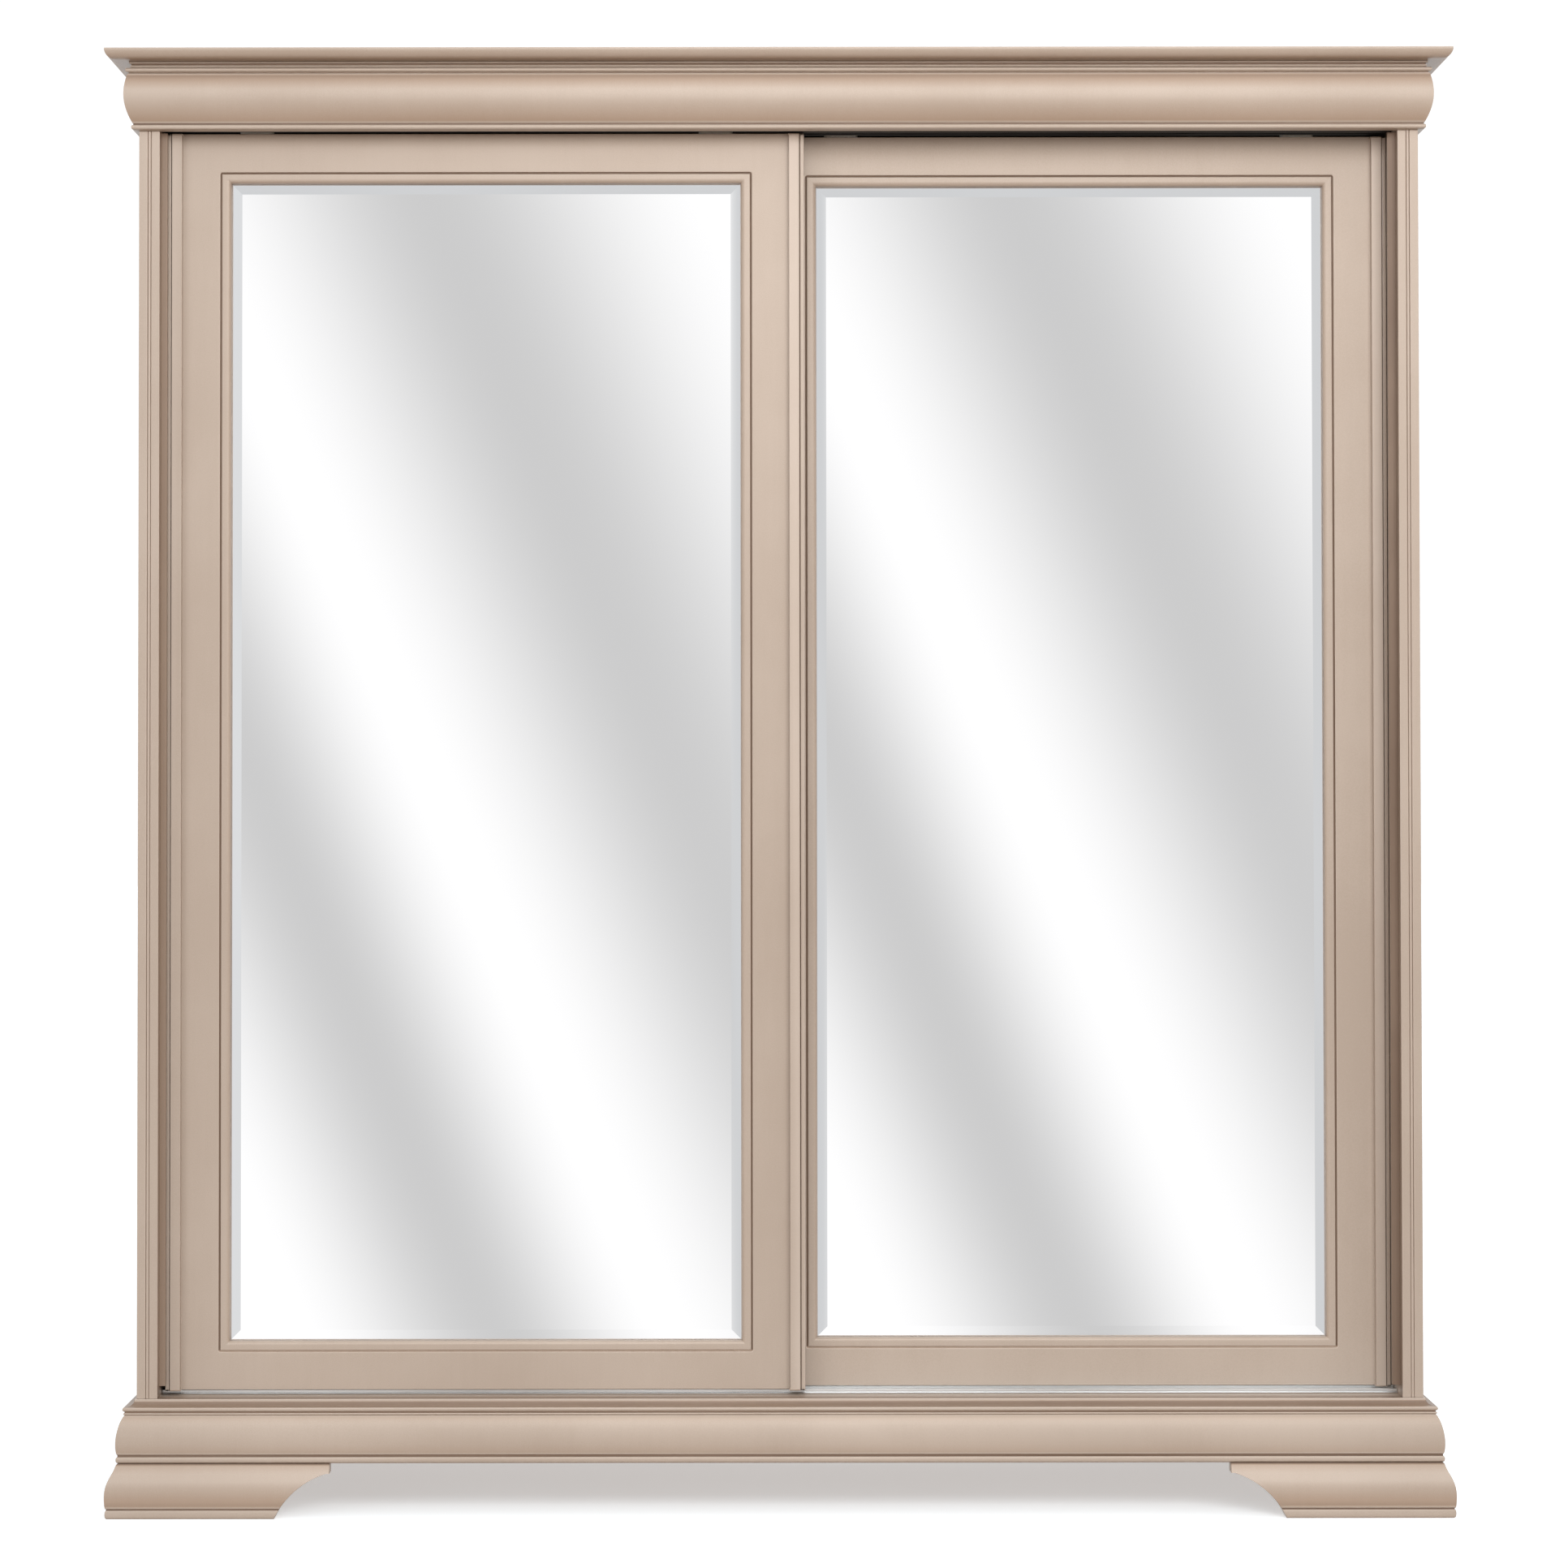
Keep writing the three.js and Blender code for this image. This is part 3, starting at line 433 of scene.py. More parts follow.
def painted_wood():
    """Champagne satin paint with a faint pearl. Where the tone is above 0 it darkens to brown, a painted
    shade with some glazing; below 0 it pales, a painted highlight on the arrises.
    """
    tree = new_material("painted_wood")
    place = tree.coordinates()
    clouds = tree.noise(place, 3.1, 4, 0.6)
    strokes = tree.noise(tree.coordinates((40, 40, 3)), 3, 3)
    flecks = tree.noise(place, 700, 1)
    shade = tree.math("ADD", tree.span(clouds, 0.35, 0.65), tree.span(strokes, 0.3, 0.7, -0.12, 0.12))
    shade = tree.math("ADD", shade, tree.span(flecks, 0.35, 0.65, -0.3, 0.3))
    colour = tree.blend(shade, PAINT_DEEP, PAINT_PALE)

    tone = tree.nodes.new("ShaderNodeAttribute")
    tone.attribute_name = "tone"
    value = tone.outputs["Fac"]
    patchy = tree.span(clouds, 0.3, 0.7, 0.75, 1.0)
    # Painted highlight on the arrises, where the tone is below 0.
    highlit = tree.math("MULTIPLY", tree.span(value, -1, 0, 0.55, 0), patchy)
    colour = tree.blend(highlit, colour, ARRIS_HIGHLIGHT)
    # Painted shade with some glazing, where the tone is above 0.
    thin = tree.math("MULTIPLY", tree.span(value, 0, 0.5, 0, 0.45), patchy)
    colour = tree.blend(thin, colour, THIN_GLAZE_AND_SHADE)
    thick = tree.math("MULTIPLY", tree.span(value, 0.5, 1, 0, 0.9), patchy)
    colour = tree.blend(thick, colour, THICK_GLAZE_AND_SHADE)

    tree.bump(tree.noise(place, 260, 2), 0.10, 0.0003)
    roughness = tree.span(flecks, 0.3, 0.7, 0.36, 0.46)
    return tree.settle(Base_Color=colour, Roughness=roughness, Metallic=0.12, Coat_Weight=0.12)


def interior_wood(name, grain):
    """Plain matching veneer. The grain is the stretch of its noise, small along the fibres."""
    tree = new_material(name)
    place = tree.coordinates(grain)
    fibres = tree.noise(place, 4, 8, 0.62)
    figure = tree.noise(place, 0.6, 3, 0.5)
    tint = tree.math("ADD", tree.span(fibres, 0.3, 0.7, 0, 0.7), tree.span(figure, 0.35, 0.65, 0, 0.3))
    colour = tree.blend(tint, rgba(0.32, 0.240, 0.178), rgba(0.45, 0.356, 0.280))
    tree.bump(fibres, 0.12, 0.0002)
    return tree.settle(Base_Color=colour, Roughness=tree.span(fibres, 0.3, 0.7, 0.5, 0.62))


def mirror_glass():
    tree = new_material("mirror_glass")
    haze = tree.noise(tree.coordinates(), 9, 2)
    roughness = tree.span(haze, 0.3, 0.7, 0.002, 0.012)
    return tree.settle(Base_Color=rgba(0.976, 0.974, 0.978), Metallic=1.0, Roughness=roughness)


def hardboard():
    """The pressed board behind the glass."""
    tree = new_material("mirror_backing")
    chips = tree.noise(tree.coordinates(), 420, 4, 0.7)
    colour = tree.blend(tree.span(chips, 0.35, 0.65), rgba(0.20, 0.135, 0.085), rgba(0.33, 0.235, 0.155))
    tree.bump(chips, 0.2, 0.0003)
    return tree.settle(Base_Color=colour, Roughness=0.85)


def aluminium(name, dark, pale):
    """Extruded track, with drawing lines along X."""
    tree = new_material(name)
    lines = tree.noise(tree.coordinates((0.01, 1, 1)), 900, 2)
    colour = tree.blend(tree.span(lines, 0.3, 0.7), dark, pale)
    tree.bump(lines, 0.03, 0.0001)
    roughness = tree.span(lines, 0.3, 0.7, 0.26, 0.38)
    return tree.settle(Base_Color=colour, Metallic=1.0, Roughness=roughness)


def steel():
    tree = new_material("steel")
    swirl = tree.noise(tree.coordinates((0.05, 1, 1)), 900, 2)
    colour = tree.blend(tree.span(swirl, 0.3, 0.7), rgba(0.56, 0.565, 0.57), rgba(0.68, 0.68, 0.685))
    roughness = tree.span(swirl, 0.3, 0.7, 0.16, 0.28)
    return tree.settle(Base_Color=colour, Metallic=1.0, Roughness=roughness)


def nylon():
    tree = new_material("nylon")
    mottle = tree.noise(tree.coordinates(), 300, 2)
    colour = tree.blend(tree.span(mottle, 0.3, 0.7), rgba(0.74, 0.73, 0.69), rgba(0.80, 0.79, 0.76))
    tree.bump(mottle, 0.1, 0.0001)
    return tree.settle(Base_Color=colour, Roughness=0.45, Subsurface_Weight=0.1)


PAINT = painted_wood()
UPRIGHT_WOOD = interior_wood("interior_wood_upright", (30, 30, 1.2))
LEVEL_WOOD = interior_wood("interior_wood_level", (1.2, 30, 30))
GLASS = mirror_glass()
BACKING = hardboard()
ALUMINIUM = aluminium("aluminium", rgba(0.78, 0.79, 0.79), rgba(0.83, 0.84, 0.84))
# The top track's colour is painted shade: it is nearly black so that it reads as the shadow gap under the
# crown.
TOP_TRACK_SHADE = aluminium("top_track_painted_shade", rgba(0.075, 0.065, 0.058), rgba(0.10, 0.088, 0.078))
STEEL = steel()
NYLON = nylon()

# ---------------------------------------------------------------- crown and base


def front_corner(sign, top):
    """The front moulding's end in the mitre's plane."""
    return lambda reach, height: (
        sign * (OUTER + reach - MITRE_TRIM),
        FRONT - reach,
        top + height,
    )


def side_corner(sign, top):
    """The side moulding's end in the same plane."""
    return lambda reach, height: (
        sign * (OUTER + reach),
        FRONT - reach + MITRE_TRIM,
        top + height,
    )


def side_end(sign, y, top=0):
    """A square end of a side moulding at the depth y."""
    return lambda reach, height: (sign * (OUTER + reach), y, top + height)


def moulded_frame(name, profile, top):
    section = dressed(profile)
    front = Shells().sweep(section, [front_corner(-1, top), front_corner(1, top)])
    stand_for(front.make(f"{name}_front_moulding"), PAINT, "painted_wood", "case", f"{name}_front")
    for side, sign in SIDES:
        run = Shells().sweep(section, [side_corner(sign, top), side_end(sign, BACK, top)])
        piece = run.make(f"{name}_{side}_moulding")
        stand_for(piece, PAINT, "painted_wood", "case", f"{name}_{side}")


# ---------------------------------------------------------------- bracket feet

FOOT_BACK = 4 * MM  # the foot's hidden face, as a reach beyond the posts
FOOT_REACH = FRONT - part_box("foot_front_left")[0].y
FRONT_LENGTH = 324.8 * MM  # from the foot's outer edge to its inner end
SIDE_LENGTH = 250 * MM
SHOULDER = 64 * MM  # where the inner end turns into the bracket's arc
SHOULDER_STEP = 0.05 * MM  # the height that the turn takes up
ARC_RADIUS = 117 * MM
ARC_DROP = 48.8 * MM  # the arc's centre lies this far below the floor
ARC_OUT = 27 * MM  # and this far beyond the foot's inner end
FOOT_EASE = 1.2 * MM
REAR_THICKNESS = 20 * MM


def end_distance(length, height):
    """How far the foot runs from its outer edge at a height, along its bracket's arc."""
    if height > SHOULDER:
        return length
    return length + ARC_OUT - math.sqrt(ARC_RADIUS**2 - (height + ARC_DROP) ** 2)


def foot_section():
    """The foot's face and hidden back as rows at the same heights. Two rows are added to the face
    at the shoulder, with their reach found between their neighbours."""
    face = dressed(foot_face(), closed=False)
    face += [(None, SHOULDER + SHOULDER_STEP, 0), (None, SHOULDER, 0)]
    face.sort(key=lambda point: -point[1])
    for i, (reach, height, tone) in enumerate(face):
        if reach is None:
            before, after = face[i - 1], next(p for p in face[i + 1 :] if p[0] is not None)
            share = (before[1] - height) / (before[1] - after[1])
            face[i] = (before[0] + share * (after[0] - before[0]), height, tone)
    back = [(FOOT_BACK, height, 0) for _, height, _ in reversed(face)]
    return face + back


def eased_ends(place):
    """Stations that round the cut end's front edge, from the end inwards."""
    stations = []
    for angle in (90, 60, 30, 0):
        pulled = FOOT_EASE * (1 - math.sin(math.radians(angle)))
        sunk = FOOT_EASE * (1 - math.cos(math.radians(angle)))
        stations.append(place(pulled, sunk))
    return stations


def sunk_reach(reach, sunk):
    return reach if reach <= FOOT_BACK else reach - sunk


def front_leg_end(sign):
    edge = OUTER + FOOT_REACH
    return lambda pulled, sunk: lambda reach, height: (
        sign * (edge - end_distance(FRONT_LENGTH, height) + pulled),
        FRONT - sunk_reach(reach, sunk),
        height,
    )


def side_leg_end(sign, outer_y, towards):
    return lambda pulled, sunk: lambda reach, height: (
        sign * (OUTER + sunk_reach(reach, sunk)),
        outer_y + towards * (end_distance(SIDE_LENGTH, height) - pulled),
        height,
    )


def front_foot(side, sign, section):
    stations = eased_ends(front_leg_end(sign))
    stations.append(lambda reach, height: (sign * (OUTER + reach), FRONT - reach, height))
    stations += reversed(eased_ends(side_leg_end(sign, FRONT - FOOT_REACH, 1)))
    foot = Shells().sweep(section, stations, rows=True)
    piece = foot.make(f"front_foot_{side}")
    stand_for(piece, PAINT, "painted_wood", "case", f"foot_front_{side}")


def rear_foot(side, sign, section):
    """The side leg, and the flat bracket behind it."""
    stations = [side_end(sign, BACK), *reversed(eased_ends(side_leg_end(sign, BACK, -1)))]
    foot = Shells().sweep(section, stations, rows=True)
    heights = [height for _, height, _ in section[: len(section) // 2]]
    edge = OUTER + FOOT_REACH
    inner = [(edge - end_distance(SIDE_LENGTH, height), height, 0) for height in heights]
    outer = [(OUTER + FOOT_BACK, height, 0) for height in reversed(heights)]
    depths = [BACK - REAR_THICKNESS, BACK]
    foot.sweep(inner + outer, [lambda x, z, y=y: (sign * x, y, z) for y in depths], rows=True)
    piece = foot.make(f"rear_foot_{side}")
    stand_for(piece, PAINT, "painted_wood", "case", f"foot_rear_{side}")


def add_feet():
    section = foot_section()
    for side, sign in SIDES:
        front_foot(side, sign, section)
        rear_foot(side, sign, section)


# ---------------------------------------------------------------- front posts

HEAD_SETBACK = 6.1  # millimetres; the post's head is rebated to pass behind the crown
CROWN_GAP = 0.3 * MM  # between the rebate's shoulder and the crown

# The lip that hides the gap between the post and the nearest door.
LIP_BOTTOM = 184 * MM
LIP_START = 30.2  # millimetres, just clear of the post's inner face
LIP_FRONT, LIP_BACK = 20, 30  # millimetres behind the post's face
LIPS = {"left": (38.8, 0.7), "right": (42.1, 0.95)}  # how far in each lip reaches, and its tone, a painted shade that is darker on the right


def rectangle(u0, u1, v0, v1, tone=0):
    """A plain section with the same tone all round."""
    corners = ((u0, v0), (u0, v1), (u1, v1), (u1, v0))
    return [(u * MM, v * MM, tone) for u, v in corners]


def add_front_posts():
    shoulder = CROWN_BOTTOM - CROWN_GAP
    post_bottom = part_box("front_post_left")[0].z
    full = dressed(post_profile())
    head = rectangle(HEAD_SETBACK, POST_WIDTH, -POST_DEPTH, -HEAD_SETBACK)
    for side, sign in SIDES:
        lip_reach, lip_tone = LIPS[side]
        lip = rectangle(LIP_START, lip_reach, -LIP_BACK, -LIP_FRONT, lip_tone)
        post = Shells()
        for section, heights in (
            (full, (post_bottom, shoulder)),
            (lip, (LIP_BOTTOM, shoulder)),
            (head, (shoulder, POST_TOP)),
        ):
            stations = [lambda u, v, z=z: (sign * (OUTER - u), FRONT - v, z) for z in heights]
            post.sweep(section, stations)
        piece = post.make(f"front_post_{side}_fluted")
        stand_for(piece, PAINT, "painted_wood", "case", f"front_post_{side}")


# ---------------------------------------------------------------- doors

CORNER_STEPS = 5
SQUARE_RADIUS = 0.4 * MM
CUTTER_RADIUS = 3.6 * MM  # of the routed groove's outer edge, in plan
DOOR_CORNER_RADIUS = 0.9 * MM
POCKET_CLEARANCE = 0.3 * MM
POCKET_OVERRUN = 10 * MM  # how far the cutter passes the door's bottom edge
PULL_ARRIS = 1.5  # millimetres
PULL_END_RADIUS = 2 * MM
PULL_END_STEPS = 4
BEVEL = 15 * MM
BEVEL_FOOT = 3.3 * MM  # the edge that the bevel leaves, in front of the glass's back
BEVEL_SHARP_ANGLE = math.radians(2)
BOTTOM_LIT_SHARE = 0.75  # the share of the painted shade left off a frame's bottom edge, whose groove faces the light


def door_places(door):
    """The door's outer box, and the low and high corners of the mirror's visible opening."""
    left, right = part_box(f"{door}_left_stile"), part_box(f"{door}_right_stile")
    low_opening = Vector((left[1].x, left[0].y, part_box(f"{door}_bottom_rail")[1].z))
    high_opening = Vector((right[0].x, left[1].y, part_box(f"{door}_top_rail")[0].z))
    return (left[0], right[1]), (low_opening, high_opening)


def corner_radius(out):
    """A ring's radius at the corners: square at the mirror, and the cutter's at the groove."""
    inner, outer = (edge * MM for edge in GROOVE)
    if out > FIELD * MM:
        return DOOR_CORNER_RADIUS
    share = min(max((out - inner) / (outer - inner), 0), 1)
    return SQUARE_RADIUS + (CUTTER_RADIUS - SQUARE_RADIUS) * share


def grown(out, margin):
    """A profile's distance out of the mirror, stretched over the flat to fit a side's margin."""
    field, side = FIELD * MM, SIDE_MARGIN * MM
    return out if out <= field else field + (out - field) * (margin - field) / (side - field)


def ring_station(outer, opening, sign_x, sign_z, angle):
    """One place on the rings round the mirror, at an angle round one of their corners."""
    margin_x = outer[1].x - opening[1].x if sign_x > 0 else opening[0].x - outer[0].x
    margin_z = outer[1].z - opening[1].z if sign_z > 0 else opening[0].z - outer[0].z
    edge_x = opening[1].x if sign_x > 0 else opening[0].x
    edge_z = opening[1].z if sign_z > 0 else opening[0].z
    face = outer[0].y

    def place(out, proud):
        radius = corner_radius(out)
        x = edge_x + sign_x * (grown(out, margin_x) - radius) + radius * math.cos(angle)
        z = edge_z + sign_z * (grown(out, margin_z) - radius) + radius * math.sin(angle)
        return (x, face - proud, z)

    return place


def ring_stations(outer, opening):
    """The stations round the mirror, and their shares of the painted shade: little along the bottom,
    which faces the light.
    """
    stations, glaze_and_shade_shares = [], []
    for turn, (sign_x, sign_z) in enumerate(((1, 1), (-1, 1), (-1, -1), (1, -1))):
        for step in range(CORNER_STEPS + 1):
            angle = math.radians(90 * (turn + step / CORNER_STEPS))
            stations.append(ring_station(outer, opening, sign_x, sign_z, angle))
            glaze_and_shade_shares.append(1 - BOTTOM_LIT_SHARE * max(0, -math.sin(angle)))
    return stations, glaze_and_shade_shares


def cut_pockets(piece, door):
    """Cuts the pockets of the roller housings into the door's bottom edge."""
    pockets = Shells()
    for side, _ in SIDES:
        low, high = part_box(f"{door}_{side}_roller_housing")
        left, right = low.x - POCKET_CLEARANCE, high.x + POCKET_CLEARANCE
        front, back = low.y - POCKET_CLEARANCE, high.y + POCKET_CLEARANCE
        plan = [(left, front, 0), (left, back, 0), (right, back, 0), (right, front, 0)]
        heights = (low.z - POCKET_OVERRUN, high.z + POCKET_CLEARANCE)
        pockets.sweep(plan, [lambda x, y, z=z: (x, y, z) for z in heights])
    cutter = pockets.make(f"{door}_pockets")
    modifier = piece.modifiers.new("pockets", "BOOLEAN")
    modifier.operation = "DIFFERENCE"
    modifier.object = cutter
    evaluated = piece.evaluated_get(bpy.context.evaluated_depsgraph_get())
    uncut = piece.data
    piece.data = bpy.data.meshes.new_from_object(evaluated)
    piece.modifiers.clear()
    bpy.data.objects.remove(cutter)
    bpy.data.meshes.remove(uncut)
    piece.data.set_sharp_from_angle(angle=SMOOTH_ANGLE)


def door_frame(door, outer, opening):
    thickness = (outer[1].y - outer[0].y) / MM
    section = dressed(frame_profile(thickness))
    stations, glaze_and_shade_shares = ring_stations(outer, opening)
    panel = Shells().sweep(section, stations, loop=True, glaze_and_shade_shares=glaze_and_shade_shares)
    piece = panel.make(f"{door}_frame")
    cut_pockets(piece, door)
    parts = ("left_stile", "right_stile", "top_rail", "bottom_rail")
    nodes = [f"{door}_{part}" for part in parts]
    stand_for(piece, PAINT, "painted_wood", door, *nodes)


def pull_station(edge, sign, face, tip, towards, angle):
    """A section of the pull near its tip, where only its proud strip is rounded off."""
    drawn_in = PULL_END_RADIUS * (1 - math.cos(angle))
    z = tip + towards * PULL_END_RADIUS * (1 - math.sin(angle))
    start, end = (distance * MM for distance in PULL_STRIP)

    def place(inwards, proud):
        if inwards >= start:
            inwards = min(max(inwards, start + drawn_in), end - drawn_in)
        return (edge - sign * inwards, face - min(proud, PULL_PROUD * MM - drawn_in), z)

    return place


def door_pulls(door, outer):
    section = dressed(pull_profile(), arris=PULL_ARRIS)
    bends = [math.radians(90 * (1 - i / PULL_END_STEPS)) for i in range(PULL_END_STEPS + 1)]
    for side, sign in SIDES:
        low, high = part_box(f"{door}_{side}_pull")
        edge = outer[1].x if sign > 0 else outer[0].x
        tips = [(low.z, 1, reversed(bends)), (high.z, -1, bends)]
        stations = [
            pull_station(edge, sign, outer[0].y, tip, towards, angle)
            for tip, towards, angles in tips
            for angle in angles
        ]
        piece = Shells().sweep(section, stations).make(f"{door}_{side}_pull_strip")
        stand_for(piece, PAINT, "painted_wood", door, f"{door}_{side}_pull")


def door_mirror(door, opening):
    """Bevelled plate glass, silvered: its back edge, its bevel's foot and its flat face."""
    low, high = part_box(f"{door}_mirror")
    edge = high.x - opening[1].x
    middle = (opening[0] + opening[1]) / 2
    half = (opening[1] - opening[0]) / 2
    rings = [(edge, high.y), (edge, high.y - BEVEL_FOOT), (-BEVEL, low.y)]
    corners = [(-1, -1, 0), (1, -1, 0), (1, 1, 0), (-1, 1, 0)]
    stations = [
        lambda across, up, grow=grow, y=y: (
            middle.x + across * (half.x + grow),
            y,
            middle.z + up * (half.z + grow),
        )
        for grow, y in rings
    ]
    piece = Shells().sweep(corners, stations).make(f"{door}_bevelled_mirror")
    piece.data.set_sharp_from_angle(angle=BEVEL_SHARP_ANGLE)
    stand_for(piece, GLASS, "mirror_glass", door, f"{door}_mirror")


def add_doors():
    for door in DOORS:
        outer, opening = door_places(door)
        door_frame(door, outer, opening)
        door_pulls(door, outer)
        door_mirror(door, opening)


# ---------------------------------------------------------------- CAD nodes that stay

KEPT_NODES = (
    (PAINT, ("top_board", "head_rail", "base_back")),
    (PAINT, ("rear_post_left", "rear_post_right", "side_panel_left", "side_panel_right")),
    (UPRIGHT_WOOD, ("back_panel", "centre_partition")),
    (LEVEL_WOOD, ("ceiling_board", "floor_board", "hat_shelf_left", "hat_shelf_right")),
    (LEVEL_WOOD, ("right_shelf_lower", "right_shelf_upper")),
    (STEEL, ("hanging_rod", "rod_socket_outer", "rod_socket_inner")),
    (ALUMINIUM, ("bottom_track",)),
    (TOP_TRACK_SHADE, ("top_track",)),
)
KEPT_DOOR_PARTS = (
    (BACKING, ("mirror_backing",)),
    (STEEL, ("left_roller_housing", "right_roller_housing")),
    (NYLON, ("left_roller", "right_roller", "left_top_guide", "right_top_guide")),
)


def refine(node, material):
    """Gives a CAD node its material, and eases its edges without touching its mesh."""
    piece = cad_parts[node]
    for i in range(len(piece.material_slots)):
        piece.material_slots[i].material = material
    weld = piece.modifiers.new("weld", "WELD")
    weld.merge_threshold = WELD_DISTANCE
    bevel = piece.modifiers.new("eased_edges", "BEVEL")
    bevel.width = CAD_BEVEL
    bevel.segments = 2
    bevel.limit_method = "ANGLE"
    bevel.angle_limit = CAD_SHARP_ANGLE
    weigh_normals(piece)


def refine_kept_nodes():
    for material, nodes in KEPT_NODES:
        for node in nodes:
            refine(node, material)
    for door in DOORS:
        for material, parts in KEPT_DOOR_PARTS:
            for part in parts:
                refine(f"{door}_{part}", material)


# ---------------------------------------------------------------- camera, light and surroundings

CAMERA_PLACE = Vector((-0.0413, -6.5424, 1.0541))
CAMERA_TILT = (math.radians(91.229), math.radians(0.059), math.radians(-0.021))
CAMERA_LENS = 97.99
CAMERA_SHIFT = (0.020, -0.055)


def add_camera():
    data = bpy.data.cameras.new("camera")
    data.lens = CAMERA_LENS
    data.shift_x, data.shift_y = CAMERA_SHIFT
    camera = bpy.data.objects.new("camera", data)
    camera.location = CAMERA_PLACE
    camera.rotation_euler = CAMERA_TILT
    bpy.context.scene.collection.objects.link(camera)
    bpy.context.scene.camera = camera


def add_softbox(name, place, target, size, power, colour=(1, 1, 1)):
    data = bpy.data.lights.new(name, "AREA")
    data.shape = "RECTANGLE"
    data.size, data.size_y = size
    data.energy = power
    data.color = colour
    light = bpy.data.objects.new(name, data)
    light.location = place
    light.rotation_euler = (Vector(target) - Vector(place)).to_track_quat("-Z", "Y").to_euler()
    bpy.context.scene.collection.objects.link(light)
    return light


WORLD_SEEN = 1.05  # the surround's strength to the camera
WORLD_CAST = 1.15  # and in the light it casts
FROM_ABOVE = rgba(0.55, 0.54, 0.53)
FROM_AROUND = rgba(0.98, 0.99, 1.0)
FROM_BELOW = rgba(0.24, 0.15, 0.09)


def add_world():
    """A white surround, whose light comes from all around, and less from above and below."""
    world = bpy.data.worlds.new("studio")
    tree = Tree(world)
    seen = tree.nodes.new("ShaderNodeLightPath").outputs["Is Camera Ray"]
    split = tree.nodes.new("ShaderNodeSeparateXYZ")
    tree.wire(tree.nodes.new("ShaderNodeTexCoord").outputs["Generated"], split.inputs["Vector"])
    rise = split.outputs["Z"]
    cast = tree.blend(tree.span(rise, -0.12, 0.2), FROM_BELOW, FROM_AROUND)
    cast = tree.blend(tree.span(rise, 0.4, 0.75), cast, FROM_ABOVE)
    colour = tree.blend(seen, cast, rgba(1, 1, 1))
    bpy.context.scene.world = tree.settle(
        Color=colour, Strength=tree.span(seen, 0, 1, WORLD_CAST, WORLD_SEEN)
    )


def flat_sheet(name, corners, material):
    mesh = bpy.data.meshes.new(name)
    mesh.from_pydata(corners, [], [(0, 1, 2, 3)])
    mesh.materials.append(material)
    sheet = bpy.data.objects.new(name, mesh)
    bpy.context.scene.collection.objects.link(sheet)
    sheet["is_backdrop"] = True
    return sheet


def add_floor(half=40, glow=0.45):
    """A pale floor that glows a little, so that the shadow on it stays light."""
    tree = new_material("studio_floor")
    material = tree.settle(
        Base_Color=rgba(0.85, 0.91, 0.95),
        Roughness=0.9,
        Emission_Color=rgba(0.985, 1.0, 1.01),
        Emission_Strength=glow,
    )
    corners = [(-half, -half, 0), (half, -half, 0), (half, half, 0), (-half, half, 0)]
    floor = flat_sheet("studio_floor", corners, material)
    floor.visible_diffuse = False


# The mirrors reflect a diagonal sweep of white and grey. It is on a card in front of the doors
# that only reflections see. Its own coordinates are those of the mirrors' plane, as the camera
# sees it there, and the lean of a place in it is x + CARD_SLOPE * z.
CARD_DISTANCE = 0.27
CARD_SLOPE = 0.4317
CARD_REPEAT = 0.864  # the right mirror shows the left one's pattern again, this far along
CARD_STOPS = ((-0.598, 1.0), (-0.31, 0.597), (-0.055, 1.0), (0.3145, 0.597), (0.749, 1.0))
CARD_LEAN = (-0.9, 0.9)
CARD_LOW, CARD_HIGH = (-1.5, -0.5), (1.5, 2.7)
CARD_FADE = 0.35  # the width over which the card's own edges fade
CARD_SEAM = 0.03  # half the width over which one mirror's pattern gives way to the other's
CARD_GLOW = 1.04

# The bands at the mirrors' edges: how they start, how they fade, and the one in the middle.
BAND_GREY = rgba(0.62, 0.63, 0.64)
BAND_PALE = rgba(0.70, 0.71, 0.72)
BAND_RISE = (-0.004, 0.01)
BAND_FALL = (0.06, 0.40)
MIDDLE_BAND = (0.02, 0.052)


def card_pattern(tree, lean):
    """The sweep's greys along the lean."""
    low, high = CARD_LEAN
    ramp = tree.nodes.new("ShaderNodeValToRGB")
    ramp.color_ramp.interpolation = "EASE"
    elements = ramp.color_ramp.elements
    while len(elements) < len(CARD_STOPS):
        elements.new(0.5)
    for element, (place, grey) in zip(elements, CARD_STOPS):
        element.position = (place - low) / (high - low)
        element.color = rgba(grey, grey, grey)
    tree.wire(tree.span(lean, low, high), ramp.inputs["Fac"])
    return ramp.outputs["Color"]


def beyond(tree, axis, edge, way):
    """A band that starts at a mirror's edge, and fades away from it."""
    past = tree.math("MULTIPLY", tree.math("SUBTRACT", axis, edge), way)
    rise = tree.span(past, *BAND_RISE, smooth=True)
    fall = tree.span(past, *BAND_FALL, 1, 0, smooth=True)
    return tree.math("MULTIPLY", rise, fall)


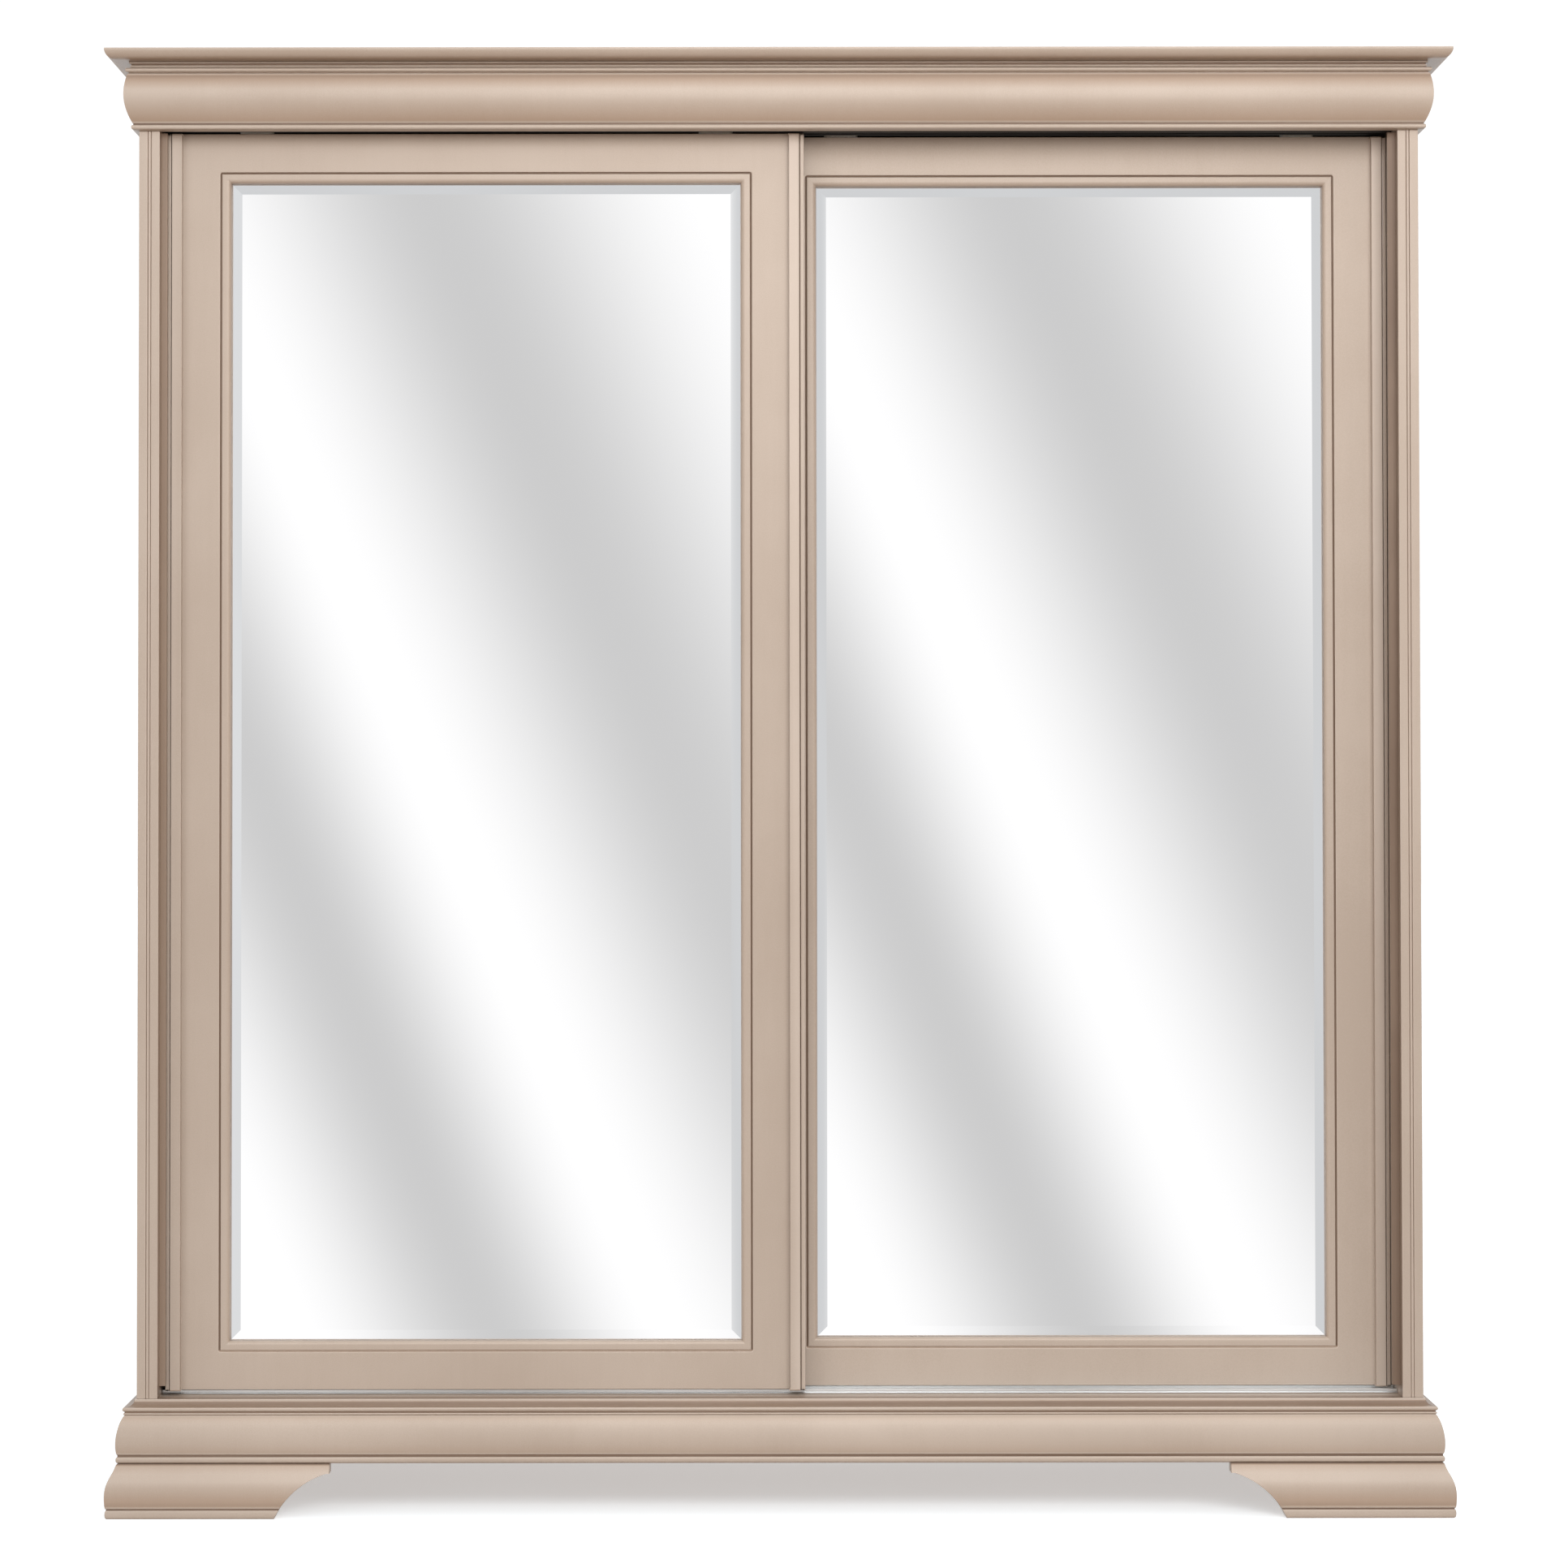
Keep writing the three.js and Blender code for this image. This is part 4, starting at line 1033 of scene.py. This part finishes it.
def card_material(mirror_high):
    """The sweep, with bands at the edges of the mirrors, whose outer top corner is mirror_high."""
    tree = new_material("reflection_card")
    split = tree.nodes.new("ShaderNodeSeparateXYZ")
    tree.wire(tree.coordinates(), split.inputs["Vector"])
    x, z = split.outputs["X"], split.outputs["Z"]
    lean = tree.math("ADD", x, tree.math("MULTIPLY", z, CARD_SLOPE))
    again = tree.math("SUBTRACT", lean, CARD_REPEAT)
    on_right = tree.span(x, -CARD_SEAM, CARD_SEAM, smooth=True)
    colour = tree.blend(on_right, card_pattern(tree, lean), card_pattern(tree, again))

    # The bevels look past the mirrors' edges, at plain bands.
    off_middle = tree.math("ABSOLUTE", x, 0)
    bands = (
        (tree.span(off_middle, *MIDDLE_BAND, 1, 0, smooth=True), BAND_GREY),
        (beyond(tree, x, mirror_high.x, 1), BAND_GREY),
        (beyond(tree, x, -mirror_high.x, -1), BAND_PALE),
        (beyond(tree, z, mirror_high.z, 1), BAND_GREY),
    )
    for share, tint in bands:
        colour = tree.blend(share, colour, tint)

    fade = 1.0
    for axis, low, high in ((x, CARD_LOW[0], CARD_HIGH[0]), (z, CARD_LOW[1], CARD_HIGH[1])):
        rise = tree.span(axis, low, low + CARD_FADE, smooth=True)
        fall = tree.span(axis, high - CARD_FADE, high, 1, 0, smooth=True)
        fade = tree.math("MULTIPLY", fade, tree.math("MULTIPLY", rise, fall))
    return tree.settle(
        Base_Color=rgba(0, 0, 0),
        Specular_IOR_Level=0.0,
        Roughness=1.0,
        Emission_Color=colour,
        Emission_Strength=CARD_GLOW,
        Alpha=fade,
    )


def add_reflection_card():
    left_mirror, right_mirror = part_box("left_door_mirror"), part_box("right_door_mirror")
    plane = (left_mirror[0].y + right_mirror[0].y) / 2
    spread = 1 + CARD_DISTANCE / (plane - CAMERA_PLACE.y)
    (left, bottom), (right, top) = CARD_LOW, CARD_HIGH
    corners = [(left, 0, bottom), (right, 0, bottom), (right, 0, top), (left, 0, top)]
    card = flat_sheet("reflection_card", corners, card_material(right_mirror[1]))
    card.scale = (spread, 1, spread)
    card.location = (
        CAMERA_PLACE.x * (1 - spread),
        plane - CARD_DISTANCE,
        CAMERA_PLACE.z * (1 - spread),
    )
    card.visible_camera = False
    card.visible_diffuse = False
    card.visible_transmission = False
    card.visible_volume_scatter = False
    card.visible_shadow = False


def light_the_scene():
    """A key from the front, a fill from the left, and a high light for the mouldings' lines."""
    add_world()
    key = add_softbox("key", (1.0, -4.6, 2.45), (0.2, -0.3, 1.3), (2.8, 1.4), 124, (1.0, 0.985, 0.97))
    key.visible_glossy = False
    add_softbox("fill", (-3.2, -4.4, 2.0), (0, 0, 1.4), (2.5, 2.5), 36, (0.97, 0.985, 1.0))
    # Only reflections see the high light, so it draws the bright lines of the mouldings alone.
    high = add_softbox("high", (0.2, -3.4, 3.15), (0, -0.3, 1.6), (3.2, 0.6), 58)
    high.visible_diffuse = False
    bpy.context.scene.view_settings.view_transform = "Standard"


# ---------------------------------------------------------------- assembly

moulded_frame("crown", crown_profile(), CROWN_TOP)
moulded_frame("base", base_profile(), BASE_TOP)
add_feet()
add_front_posts()
add_doors()
refine_kept_nodes()
add_floor()
add_reflection_card()
light_the_scene()
add_camera()

bounds = {"cad": CAD_BOUNDS, "visual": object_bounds()}
{name: [list(corner) for corner in box] for name, box in bounds.items()}
